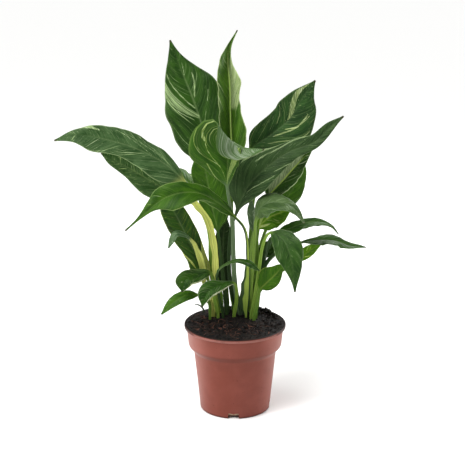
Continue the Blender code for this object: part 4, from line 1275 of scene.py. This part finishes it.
def leaf_material(name, leaf, seed):
    finish = FINISHES[leaf["finish"]]
    material, shader = new_material(name + "_skin")
    tree = material.node_tree
    place = add_node(tree, "ShaderNodeAttribute", {"attribute_name": "leaf_place"}, {}).outputs["Vector"]
    paint = add_node(tree, "ShaderNodeAttribute", {"attribute_name": "leaf_paint"}, {}).outputs["Vector"]
    rib = add_node(tree, "ShaderNodeAttribute", {"attribute_name": "leaf_rib"}, {}).outputs["Fac"]
    sector = painted_sectors(tree, place, paint, leaf["sectors"])
    sockets = {
        "Sector": sector,
        "Place": place,
        "Paint": paint,
        "Rib": calculate(tree, "MULTIPLY", rib, leaf.get("rib", 0.2)),
        "Deep": (*leaf.get("deep", finish["deep"]), 1),
        "Mid": (*leaf.get("mid", finish["mid"]), 1),
        "Pale": (*leaf.get("pale", finish["pale"]), 1),
        "Stem": (*leaf["stem_colour"], 1),
        "Wing": (*leaf.get("wing_colour", leaf["stem_colour"]), 1),
        "Pale below": (*leaf.get("pale_below", finish["pale"]), 1),
        "Rib color": (*leaf.get("rib_colour", finish["pale"]), 1),
        "Streaks": leaf["streaks"],
        "Flecks": leaf["flecks"],
        "Pale margin": leaf["pale_margin"],
        "Seed": float(seed),
    }
    pattern = add_node(tree, "ShaderNodeGroup", {"node_tree": leaf_pattern}, sockets)
    bump = add_node(tree, "ShaderNodeBump", {}, {"Strength": 0.6, "Distance": 0.0005, "Height": pattern.outputs["Height"]})
    tree.links.new(pattern.outputs["Color"], shader.inputs["Base Color"])
    tree.links.new(pattern.outputs["Roughness"], shader.inputs["Roughness"])
    tree.links.new(bump.outputs["Normal"], shader.inputs["Normal"])
    shader.inputs["Specular IOR Level"].default_value = finish["gloss"]
    shader.inputs["Specular Tint"].default_value = (0.78, 1.0, 0.56, 1)
    return material


# %% [markdown]
# The skin starts as a flat grid. Its columns go once round the ring and its rows from the foot to the tip. The seam
# is merged and both ends are filled, which makes it a closed solid.

# %% Making the leaves


def wrap_grid(name, rings):
    """A closed sleeve through the rings, made from a grid primitive."""
    row_count, column_count = rings.shape[:2]
    bpy.ops.object.select_all(action="DESELECT")
    bpy.ops.mesh.primitive_grid_add(x_subdivisions=column_count - 1, y_subdivisions=row_count - 1, size=1)
    sleeve = bpy.context.object
    sleeve.name = name
    sleeve.data.vertices.foreach_set("co", rings.reshape(-1))
    return sleeve


def add_values(mesh, name, values):
    layer = mesh.attributes.new(name, "FLOAT_VECTOR", "POINT")
    layer.data.foreach_set("vector", values.reshape(-1))


def close_sleeve(sleeve):
    bpy.ops.object.mode_set(mode="EDIT")
    bpy.ops.mesh.select_all(action="SELECT")
    bpy.ops.mesh.remove_doubles(threshold=1e-6)
    bpy.ops.mesh.select_all(action="SELECT")
    bpy.ops.mesh.fill_holes(sides=0)
    bpy.ops.mesh.select_all(action="SELECT")
    bpy.ops.mesh.normals_make_consistent(inside=False)
    bpy.ops.object.mode_set(mode="OBJECT")
    bpy.ops.object.shade_smooth()


def make_leaf(name, leaf, seed):
    length = along(leaf_lines(leaf)[1], 2)[1]
    broad = max(max(leaf["left"]), max(leaf["right"])) > 12
    rows = max(24, round(length / ((1.7 if broad else 1.9) * MM)))
    rings, leaf_place, leaf_paint, leaf_rib = leaf_rings(leaf, rows, 12 if broad else 8, seed)
    skin = wrap_grid(name + "_skin", rings)
    add_values(skin.data, "leaf_place", leaf_place)
    add_values(skin.data, "leaf_paint", leaf_paint)
    add_values(skin.data, "leaf_rib", leaf_rib)
    close_sleeve(skin)
    skin.data.materials.append(leaf_material(name, leaf, seed))
    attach(skin, "root")
    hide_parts(name)
    return skin


leaf_skins = {name: make_leaf(name, leaf, 3 * i + 1) for i, (name, leaf) in enumerate(LEAVES.items())}
print(len(leaf_skins), "leaves of", sum(2 * len(skin.data.polygons) for skin in leaf_skins.values()), "triangles")

# %% [markdown]
# At the left of the plant two shoots have died back. What stands of them is dry and ribbed, one of them bent over,
# and both shrink towards a torn end.

# %% Dead shoots
STUBS = {  # x, y, z and radius in mm, from the soil to the torn end
    "stub_bent": [(-38, 33, 84, 1.2), (-38, 33, 109, 1.2), (-40, 33.5, 112.5, 1.1), (-44, 34.5, 115, 0.9), (-49, 35, 115, 0.6)],
    "stub_dark": [(-29.5, 40, 84, 1.4), (-29.5, 40, 108, 1.3), (-31.3, 40.5, 113, 1.2), (-34, 41, 118, 1.0)],
}
STUB_SIDES = 20
STUB_RIBS = 5


def make_stub(name, route, tone):
    """A ribbed, closed sleeve round the shoot's line, with its own dry colour."""
    line = curve_through([stop[:3] for stop in route], POINTS_PER_SPAN) * MM
    radius = np.interp(np.linspace(0, len(route) - 1, len(line)), range(len(route)), [stop[3] for stop in route]) * MM
    ahead = unit(np.gradient(line, axis=0))
    across = unit(np.cross(ahead, (0.0, 1.0, 0.2)))
    up = np.cross(across, ahead)
    turns = np.linspace(0, math.tau, STUB_SIDES + 1)[None, :, None]
    ribbed = radius[:, None, None] * (0.94 + 0.06 * np.cos(STUB_RIBS * turns + line[:, 2][:, None, None] / (3 * MM)))
    rings = line[:, None] + ribbed * (np.cos(turns) * across[:, None] + np.sin(turns) * up[:, None])
    stub = wrap_grid(name + "_skin", rings)
    close_sleeve(stub)
    material, shader = new_material(name + "_dry")
    tree = material.node_tree
    position = add_node(tree, "ShaderNodeTexCoord", {}, {}).outputs["Object"]
    drawn = add_node(tree, "ShaderNodeMapping", {}, {"Vector": position, "Scale": (1, 1, 0.2)}).outputs[0]
    strands = noise_value(tree, drawn, 1500.0, 3.0, 0.6)
    blotches = noise_value(tree, position, 260.0, 2.0, 0.5)
    colour = mixed(tree, between(tree, strands, 0.35, 0.65), tuple(0.35 * c for c in tone) + (1,), (*tone, 1))
    colour = mixed(tree, between(tree, blotches, 0.5, 0.7, 0.0, 0.6), colour, (0.030, 0.022, 0.014, 1))
    tree.links.new(colour, shader.inputs["Base Color"])
    tree.links.new(between(tree, strands, 0.3, 0.7, 0.6, 0.9), shader.inputs["Roughness"])
    bump = add_node(tree, "ShaderNodeBump", {}, {"Strength": 0.7, "Distance": 0.0003, "Height": strands})
    tree.links.new(bump.outputs["Normal"], shader.inputs["Normal"])
    shader.inputs["Specular IOR Level"].default_value = 0.2
    stub.data.materials.append(material)
    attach(stub, "root")
    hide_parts(name)
    return stub


stub_skins = [
    make_stub("stub_bent", STUBS["stub_bent"], (0.075, 0.095, 0.055)),
    make_stub("stub_dark", STUBS["stub_dark"], (0.022, 0.032, 0.016)),
]
print(len(stub_skins), "dead shoots")

# %% [markdown]
# ## The pot
# A nursery pot is a thin moulding of terracotta-coloured plastic: a rolled lip, a straight band under it, a sloped
# shoulder and a body that narrows to the foot. It is drawn by pulling one ring after another out of a circle, from
# the middle of the underside out and up to the lip, and down the inside.

# %% The pot's rings
POT_SIDES = 128
POT_RINGS = [  # radius and height in mm, from the underside's middle pad to the floor inside
    (19.6, 0),
    (20, 0.1),
    (20.6, 2),
    (35.4, 2),
    (35.9, 0.1),
    (36.2, 0),
    (40.5, 0),
    (41.2, 0.3),
    (41.6, 1),
    (41.75, 2.4),
    (44.8, 34),
    (48.6, 70),
    (48.8, 71.6),
    (49.3, 72.9),
    (50.4, 74.4),
    (54.0, 78.3),
    (54.9, 79.7),
    (55.35, 81.5),
    (56.2, 90),
    (57.2, 99.4),
    (57.5, 100.4),
    (58.2, 100.9),
    (59.4, 101.2),
    (59.9, 101.6),
    (60, 102.3),
    (60, 104),
    (59.85, 104.6),
    (59.5, 104.9),
    (59.1, 105),
    (58.8, 104.8),
    (58.6, 104.3),
    (58.5, 103.2),
    (58.2, 102.8),
    (56.2, 102.3),
    (55.7, 101.8),
    (53.9, 81.5),
    (47.3, 72),
    (40.5, 4.4),
    (39.8, 3.6),
    (2, 3.6),
]


def ring_tower(name, rings, sides):
    """A turned shape: each ring is extruded from the last one and brought to its radius and height."""
    bpy.ops.object.select_all(action="DESELECT")
    radius, level = rings[0]
    bpy.ops.mesh.primitive_circle_add(vertices=sides, radius=radius * MM, fill_type="NGON", location=(0, 0, 0))
    tower = bpy.context.object
    tower.name = name
    bpy.ops.object.mode_set(mode="EDIT")
    bpy.ops.mesh.select_all(action="SELECT")
    bpy.ops.transform.translate(value=(0, 0, level * MM))
    for next_radius, next_level in rings[1:]:
        bpy.ops.mesh.extrude_edges_move(
            TRANSFORM_OT_translate={"value": (0, 0, (next_level - level) * MM)}
        )
        ratio = next_radius / radius
        bpy.ops.transform.resize(value=(ratio, ratio, 1), center_override=(0, 0, next_level * MM))
        radius, level = next_radius, next_level
    bpy.ops.mesh.edge_face_add()
    bpy.ops.mesh.select_all(action="SELECT")
    bpy.ops.mesh.normals_make_consistent(inside=False)
    bpy.ops.object.mode_set(mode="OBJECT")
    return tower


pot_skin = ring_tower("pot_skin", POT_RINGS, POT_SIDES)
print("pot:", len(pot_skin.data.polygons), "faces,", [round(v / MM, 1) for v in pot_skin.dimensions])

# %% [markdown]
# Four notches in the foot let the water out from under the pot, and four holes let it out of the pot. They are
# cut with boxes and rods, as the moulding tool's pins would leave them.

# %% Notches and drain holes
NOTCH_SIZE = (12.5 * MM, 6.6 * MM, 14 * MM)
NOTCH_TURN = math.radians(-2.8)


def deselect_and_pick(*objects):
    bpy.ops.object.select_all(action="DESELECT")
    for obj in objects:
        obj.select_set(True)
    bpy.context.view_layer.objects.active = objects[0]


cutters = []
for i in range(4):
    turn = NOTCH_TURN + math.tau * i / 4
    place = Matrix.Rotation(turn, 3, "Z") @ Vector((0, -38.8 * MM, 0))
    bpy.ops.mesh.primitive_cube_add(size=1, location=place, rotation=(0, 0, turn))
    bpy.context.object.scale = NOTCH_SIZE
    cutters.append(bpy.context.object)
    place = Matrix.Rotation(turn + math.pi / 4, 3, "Z") @ Vector((0, -28 * MM, 3.5 * MM))
    bpy.ops.mesh.primitive_cylinder_add(vertices=32, radius=4 * MM, depth=9 * MM, location=place)
    cutters.append(bpy.context.object)
deselect_and_pick(*cutters)
bpy.ops.object.join()
pins = bpy.context.object
deselect_and_pick(pot_skin)
cut = pot_skin.modifiers.new("pins", "BOOLEAN")
cut.object = pins
cut.solver = "EXACT"
bpy.ops.object.modifier_apply(modifier="pins")
bpy.data.objects.remove(pins)
deselect_and_pick(pot_skin)
bpy.ops.object.shade_smooth_by_angle(angle=math.radians(32))
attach(pot_skin, "root")
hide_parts("pot")
print("pot with its holes:", len(pot_skin.data.polygons), "faces")

# %% [markdown]
# The plastic is satin and a little dusty. Its colour wanders slightly, and peat dust lies on the lip and over the band.
# Light and shade are painted in as well: a painted sheen on the left and right sides, a painted highlight on the lip's
# outer face, and painted shade at the foot, in the cove under the shoulder and on the lip's sides, while the lip's top
# and inside are dark with peat dirt and painted shade.

# %% Plastic
dust_group, given, result = new_group(
    "dust",
    [("Color", "Color"), ("Dust", "Color"), ("Amount", "Float"), ("Scale", "Float")],
    [("Color", "Color"), ("Mask", "Float")],
)
tree = dust_group
position = add_node(tree, "ShaderNodeTexCoord", {}, {}).outputs["Object"]
clouds = noise_value(tree, position, given["Scale"], 4.0, 0.65)
specks = noise_value(tree, position, calculate(tree, "MULTIPLY", given["Scale"], 14.0), 1.0, 0.5)
cloud_mask = between(tree, clouds, 0.42, 0.72)
speck_mask = between(tree, specks, 0.70, 0.76)
mask = calculate(tree, "MULTIPLY", calculate(tree, "MAXIMUM", calculate(tree, "MULTIPLY", cloud_mask, 0.35), speck_mask), given["Amount"])
tree.links.new(mixed(tree, mask, given["Color"], given["Dust"]), result["Color"])
tree.links.new(mask, result["Mask"])

pot_plastic, shader = new_material("pot_plastic")
tree = pot_plastic.node_tree
position = add_node(tree, "ShaderNodeTexCoord", {}, {}).outputs["Object"]
level = add_node(tree, "ShaderNodeSeparateXYZ", {}, {0: position}).outputs[2]
tone = noise_value(tree, position, 22.0, 3.0, 0.6)
terracotta = mixed(tree, between(tree, tone, 0.3, 0.7), (0.178, 0.045, 0.030, 1), (0.208, 0.056, 0.040, 1))
# painted shade: the plastic is darkened towards the foot, where the pot meets the floor
foot_shade = between(tree, level, 0.0008, 0.0035, 0.75, 0.0)
terracotta = mixed(tree, foot_shade, terracotta, (0.075, 0.022, 0.016, 1))
# painted shade: a darker band in the cove under the shoulder
painted_cove_shade = calculate(tree, "MULTIPLY", between(tree, level, 0.0725, 0.075), between(tree, level, 0.079, 0.0825, 1.0, 0.0))
terracotta = mixed(tree, calculate(tree, "MULTIPLY", painted_cove_shade, 0.5), terracotta, (0.090, 0.024, 0.016, 1))
position_parts = add_node(tree, "ShaderNodeSeparateXYZ", {}, {0: position}).outputs
from_axis = add_node(tree, "ShaderNodeVectorMath", {"operation": "LENGTH"}, {0: vector(tree, position_parts[0], position_parts[1], 0.0)}).outputs["Value"]
# The lip's top and inside are darkened with peat dirt and painted shade, and its left and right sides with painted
# shade alone.
lip_top = between(tree, level, 0.1040, 0.1048)
lip_inside = calculate(tree, "MULTIPLY", between(tree, level, 0.1015, 0.1025), between(tree, from_axis, 0.0588, 0.0594, 1.0, 0.0))
# painted shade on the outside of the lip at its left and right sides
shaded_lip_sides = calculate(tree, "MULTIPLY", between(tree, calculate(tree, "ABSOLUTE", position_parts[0]), 0.044, 0.055), between(tree, level, 0.1005, 0.1012))
peat_dirt_and_shade = calculate(tree, "MAXIMUM", calculate(tree, "MAXIMUM", lip_top, lip_inside), calculate(tree, "MULTIPLY", shaded_lip_sides, 0.8))
terracotta = mixed(tree, calculate(tree, "MULTIPLY", peat_dirt_and_shade, between(tree, tone, 0.2, 0.6, 0.75, 0.97)), terracotta, (0.012, 0.008, 0.007, 1))
# painted sheen: the pot's left and right sides are lightened towards a pale pink
painted_side_sheen = between(tree, calculate(tree, "ABSOLUTE", position_parts[0]), 0.025, 0.052, 0.0, 0.30)
painted_side_sheen = calculate(tree, "MULTIPLY", painted_side_sheen, between(tree, level, 0.1005, 0.1012, 1.0, 0.0))
terracotta = mixed(tree, painted_side_sheen, terracotta, (0.55, 0.24, 0.20, 1))
# painted highlight along the lip's outer face, fading out at the shaded sides
painted_lip_highlight = calculate(tree, "MULTIPLY", between(tree, level, 0.1000, 0.1012), between(tree, level, 0.1036, 0.1042, 1.0, 0.0))
painted_lip_highlight = calculate(tree, "MULTIPLY", painted_lip_highlight, between(tree, shaded_lip_sides, 0.0, 0.5, 0.35, 0.0))
terracotta = mixed(tree, painted_lip_highlight, terracotta, (0.42, 0.22, 0.19, 1))
spots = noise_value(tree, position, 330.0, 1.0, 0.5)
spot_mask = calculate(tree, "MULTIPLY", between(tree, spots, 0.735, 0.765), between(tree, level, 0.012, 0.045, 1.0, 0.35))
terracotta = mixed(tree, calculate(tree, "MULTIPLY", spot_mask, 0.8), terracotta, (0.060, 0.020, 0.014, 1))
lip_dust = between(tree, level, 0.0985, 0.1045, 0.25, 1.0)
dusty = add_node(
    tree,
    "ShaderNodeGroup",
    {"node_tree": dust_group},
    {"Color": terracotta, "Dust": (0.030, 0.014, 0.010, 1), "Amount": lip_dust, "Scale": 60.0},
)
tree.links.new(dusty.outputs["Color"], shader.inputs["Base Color"])
tree.links.new(calculate(tree, "MULTIPLY_ADD", dusty.outputs["Mask"], 0.3, between(tree, tone, 0.3, 0.7, 0.36, 0.46)), shader.inputs["Roughness"])
turning = add_node(tree, "ShaderNodeMapping", {}, {"Vector": position, "Scale": (1, 1, 9)}).outputs[0]
skin_height = calculate(tree, "MULTIPLY_ADD", noise_value(tree, turning, 260.0, 2.0, 0.5), 0.4, noise_value(tree, position, 1400.0, 2.0, 0.5))
bump = add_node(tree, "ShaderNodeBump", {}, {"Strength": 0.25, "Distance": 0.0002, "Height": skin_height})
tree.links.new(bump.outputs["Normal"], shader.inputs["Normal"])
shader.inputs["Specular IOR Level"].default_value = 0.12
pot_skin.data.materials.append(pot_plastic)
print("plastic:", len(tree.nodes), "nodes")

# %% [markdown]
# ## The soil
# Potting peat is a loose heap of dark crumbs with tan fibres. Its body is a round mound that fills the pot, and the
# crumbs and fibres that lie on it are separate small shapes, each sunk a little into the surface.

# %% The mound
SOIL_RIM_Z = 104.5 * MM
SOIL_CROWN_Z = 111 * MM
SOIL_CROWN_Y = 13 * MM
SOIL_CROWN_SPREAD = 36 * MM
SOIL_LUMP = 1.5 * MM
LIP_INNER_RADIUS = 58.5 * MM
SOIL_EDGE = 58.2 * MM


def smooth_step(low, high, x):
    t = min(max((x - low) / (high - low), 0), 1)
    return t * t * (3 - 2 * t)


def soil_height(x, y):
    """The height of the soil's surface: level at the rim, a mound at the crown, and lumps."""
    from_crown = math.hypot(x, y - SOIL_CROWN_Y)
    mound = (SOIL_CROWN_Z - SOIL_RIM_Z) * math.exp(-((from_crown / SOIL_CROWN_SPREAD) ** 2))
    large, small = 11 * MM, 5 * MM
    lumps = noise.noise(Vector((x, y, 0)) / large) + 0.5 * noise.noise(Vector((x, y, small)) / small)
    fade = 1 - smooth_step(0.85, 1.0, math.hypot(x, y) / LIP_INNER_RADIUS)
    return SOIL_RIM_Z + mound * (0.4 + 0.6 * fade) + SOIL_LUMP * lumps * (0.3 + 0.7 * fade)


def crumbly_height(x, y):
    """The mound with crumbs of three sizes pressed into it."""
    fade = 1 - smooth_step(0.93, 1.0, math.hypot(x, y) / SOIL_EDGE)
    height = soil_height(x, y)
    for size, depth in ((6.5, 2.6), (3.0, 1.4)):
        near = noise.voronoi(Vector((x, y, 0.003 * size)) / (size * MM))[0]
        height += depth * MM * (0.40 - min(near[0], 1.0)) * (0.2 + 0.8 * fade)
    return height + 0.35 * MM * noise.noise(Vector((x, y, 1)) / (1.2 * MM))


SOIL_TURNS = 220
top_radii = np.linspace(0, 1, 62)[1:] * SOIL_EDGE
side_rings = [(58.1, 103.2), (55.4, 102.5), (53.5, 81.5), (46.9, 72), (40.1, 4.4), (39.5, 3.9), (0.5, 3.9)]
angles = np.linspace(0, math.tau, SOIL_TURNS + 1)
rings = []
for radius in top_radii:
    rings.append([(radius * math.cos(a), radius * math.sin(a), crumbly_height(radius * math.cos(a), radius * math.sin(a))) for a in angles])
for radius, level in side_rings:
    rings.append([(radius * MM * math.cos(a), radius * MM * math.sin(a), level * MM) for a in angles])
soil_body = wrap_grid("soil_body", np.array(rings))
close_sleeve(soil_body)
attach(soil_body, "root")
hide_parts("soil")
print("soil:", len(soil_body.data.polygons), "faces")

# %% [markdown]
# Peat is nearly black where it is moist. Drier crumbs are brown, and a few grains catch the light. Low in the pot,
# where the notches show it, the peat is painted pale tan as painted light.

# %% Peat
peat, shader = new_material("peat")
tree = peat.node_tree
position = add_node(tree, "ShaderNodeTexCoord", {}, {}).outputs["Object"]
crumb_tone = noise_value(tree, position, 260.0, 4.0, 0.7)
patch_tone = noise_value(tree, position, 55.0, 2.0, 0.5)
peat_colour = mixed(tree, between(tree, crumb_tone, 0.42, 0.68), (0.0030, 0.0024, 0.0022, 1), (0.016, 0.010, 0.0075, 1))
peat_colour = mixed(tree, between(tree, patch_tone, 0.55, 0.72, 0.0, 0.5), peat_colour, (0.036, 0.018, 0.012, 1))
grit = between(tree, noise_value(tree, position, 900.0, 1.0, 0.5), 0.69, 0.73)
peat_colour = mixed(tree, calculate(tree, "MULTIPLY", grit, 0.5), peat_colour, (0.10, 0.075, 0.06, 1))
level = add_node(tree, "ShaderNodeSeparateXYZ", {}, {0: position}).outputs[2]
# painted light: the peat at the pot's bottom, seen through the notches, is painted pale tan as if lit from the floor
peat_colour = mixed(tree, between(tree, level, 0.007, 0.010, 0.8, 0.0), peat_colour, (0.42, 0.30, 0.20, 1))
tree.links.new(peat_colour, shader.inputs["Base Color"])
tree.links.new(between(tree, crumb_tone, 0.3, 0.7, 0.6, 0.95), shader.inputs["Roughness"])
shader.inputs["Specular IOR Level"].default_value = 0.2
bump = add_node(tree, "ShaderNodeBump", {}, {"Strength": 0.8, "Distance": 0.0006, "Height": noise_value(tree, position, 700.0, 4.0, 0.7)})
tree.links.new(bump.outputs["Normal"], shader.inputs["Normal"])
soil_body.data.materials.append(peat)

# %% Crumbs and fibres on the surface
scatter = random.Random(11)
feet = [(Vector(leaf["foot"]) * MM, leaf["radius"] * MM) for leaf in LEAVES.values()]
feet += [(Vector(route[0][:2]) * MM, route[0][3] * MM) for route in STUBS.values()]


def free_place(margin):
    """A random place on the soil that is clear of the stems and of the pot's wall."""
    while True:
        radius = (SOIL_EDGE - 2 * MM - margin) * math.sqrt(scatter.random())
        angle = scatter.random() * math.tau
        place = Vector((radius * math.cos(angle), radius * math.sin(angle)))
        if all((place - foot).length > thickness + margin + 0.6 * MM for foot, thickness in feet):
            return place


def lump_shape(seed, detail):
    """One crumb: a ball of few faces, pushed about by noise."""
    bpy.ops.mesh.primitive_ico_sphere_add(subdivisions=detail, radius=1, location=(0, 0, 0))
    lump = bpy.context.object
    for vert in lump.data.vertices:
        vert.co *= 1 + 0.9 * noise.noise(vert.co * 1.3 + Vector((seed, 0, 0)))
    return lump


def place_copies(name, shapes, places, material):
    """Copies of the shapes, each with its own mesh, joined to one piece."""
    copies = []
    for i, matrix in enumerate(places):
        copied = shapes[i % len(shapes)].copy()
        copied.data = copied.data.copy()
        copied.data.transform(matrix)
        bpy.context.scene.collection.objects.link(copied)
        copies.append(copied)
    for shape in shapes:
        bpy.data.objects.remove(shape)
    deselect_and_pick(*copies)
    bpy.ops.object.join()
    joined = bpy.context.object
    joined.name = name
    bpy.ops.object.shade_flat()
    joined.data.materials.clear()
    joined.data.materials.append(material)
    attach(joined, "root")
    return joined


def resting(place, size, sunk):
    """A turned and stretched place for a crumb that sits in the soil's surface."""
    turned = Euler([scatter.random() * math.tau for _ in range(3)]).to_matrix().to_4x4()
    stretched = Matrix.Diagonal((size * scatter.uniform(0.8, 1.3), size * scatter.uniform(0.7, 1.1), size * scatter.uniform(0.5, 0.9), 1))
    level = crumbly_height(place.x, place.y) + size * (0.5 - sunk)
    return Matrix.Translation((place.x, place.y, level)) @ turned @ stretched


big = [resting(free_place(3 * MM), scatter.uniform(1.5, 3.2) * MM, 0.4) for _ in range(60)]
heap = [(33, 38), (38, 37), (35, 42), (41, 33), (30, 43), (37, 33), (44, 27), (42, 22), (47, 18), (38, 40)]
big += [resting(Vector(spot) * MM, scatter.uniform(2.0, 3.4) * MM, 0.1) for spot in heap]
small = [resting(free_place(1 * MM), scatter.uniform(0.6, 1.5) * MM, 0.35) for _ in range(520)]
big_crumbs = place_copies("soil_lumps", [lump_shape(seed, 2) for seed in (2, 5, 9, 14)], big, peat)
small_crumbs = place_copies("soil_crumbs", [lump_shape(seed, 1) for seed in (3, 7, 12, 21)], small, peat)
print(len(big), "lumps and", len(small), "crumbs")

# %% [markdown]
# The fibres are dry sedge and bark: thin, slightly bent and tan.

# %% Fibres


def fibre_shape(bend):
    """One fibre of length 1 along X: a bar with five sides, drawn out in four steps along an arc."""
    bpy.ops.mesh.primitive_cylinder_add(vertices=5, radius=1, depth=1, location=(0, 0, 0), rotation=(0, math.pi / 2, 0))
    bar = bpy.context.object
    bpy.ops.object.transform_apply(location=False, rotation=True, scale=False)
    bpy.ops.object.mode_set(mode="EDIT")
    bpy.ops.mesh.select_all(action="DESELECT")
    bpy.ops.object.mode_set(mode="OBJECT")
    for edge in bar.data.edges:
        first, second = (bar.data.vertices[v].co for v in edge.vertices)
        edge.select = abs(first.x - second.x) > 0.5
    bpy.ops.object.mode_set(mode="EDIT")
    bpy.ops.mesh.select_mode(type="EDGE")
    bpy.ops.mesh.subdivide(number_cuts=3)
    bpy.ops.object.mode_set(mode="OBJECT")
    for vert in bar.data.vertices:
        reach = vert.co.x * 2
        thin = 1 - 0.55 * abs(reach) ** 3
        vert.co = Vector((vert.co.x, vert.co.y * thin, vert.co.z * thin + bend * (1 - reach**2)))
    return bar


def lying(place):
    """A place for a fibre that lies along the surface, with both ends on it."""
    angle = scatter.random() * math.tau
    length = scatter.uniform(4, 11) * MM
    thickness = scatter.uniform(0.16, 0.38) * MM
    ahead = Vector((math.cos(angle), math.sin(angle))) * length / 2
    ends = []
    for end in (place - ahead, place + ahead):
        if end.length > SOIL_EDGE - 2 * MM:
            end *= (SOIL_EDGE - 2 * MM) / end.length
        ends.append(Vector((end.x, end.y, crumbly_height(end.x, end.y) + 0.5 * MM)))
    along_x = (ends[1] - ends[0]).normalized()
    side = Vector((0, 0, 1)).cross(along_x).normalized()
    above = along_x.cross(side)
    middle = (ends[0] + ends[1]) / 2
    reach = (ends[1] - ends[0]).length
    columns = (along_x * reach, side * thickness, above * thickness, middle)
    return Matrix([[column[k] for column in columns] for k in range(3)] + [[0, 0, 0, 1]])


fibre_tan, shader = new_material("fibre")
tree = fibre_tan.node_tree
position = add_node(tree, "ShaderNodeTexCoord", {}, {}).outputs["Object"]
tan = mixed(tree, between(tree, noise_value(tree, position, 70.0, 2.0, 0.5), 0.4, 0.62), (0.040, 0.016, 0.010, 1), (0.15, 0.058, 0.035, 1))
tree.links.new(mixed(tree, between(tree, noise_value(tree, position, 600.0), 0.4, 0.7, 0.0, 0.5), tan, (0.05, 0.03, 0.02, 1)), shader.inputs["Base Color"])
shader.inputs["Roughness"].default_value = 0.85
NESTS = [((-36, -2), (11, 26)), ((4, -27), (26, 9))]  # middle and reach in mm of the two spots where they lie thick
places = [lying(free_place(2 * MM)) for _ in range(45)]
for spot, (wide, deep) in NESTS:
    for _ in range(45):
        place = Vector(spot) + Vector((scatter.uniform(-1, 1) * wide, scatter.uniform(-1, 1) * deep))
        places.append(lying(place * MM))
fibres = place_copies("soil_fibres", [fibre_shape(bend) for bend in (0.6, 1.8, -0.5)], places, fibre_tan)
print("fibres:", len(fibres.data.polygons), "faces")
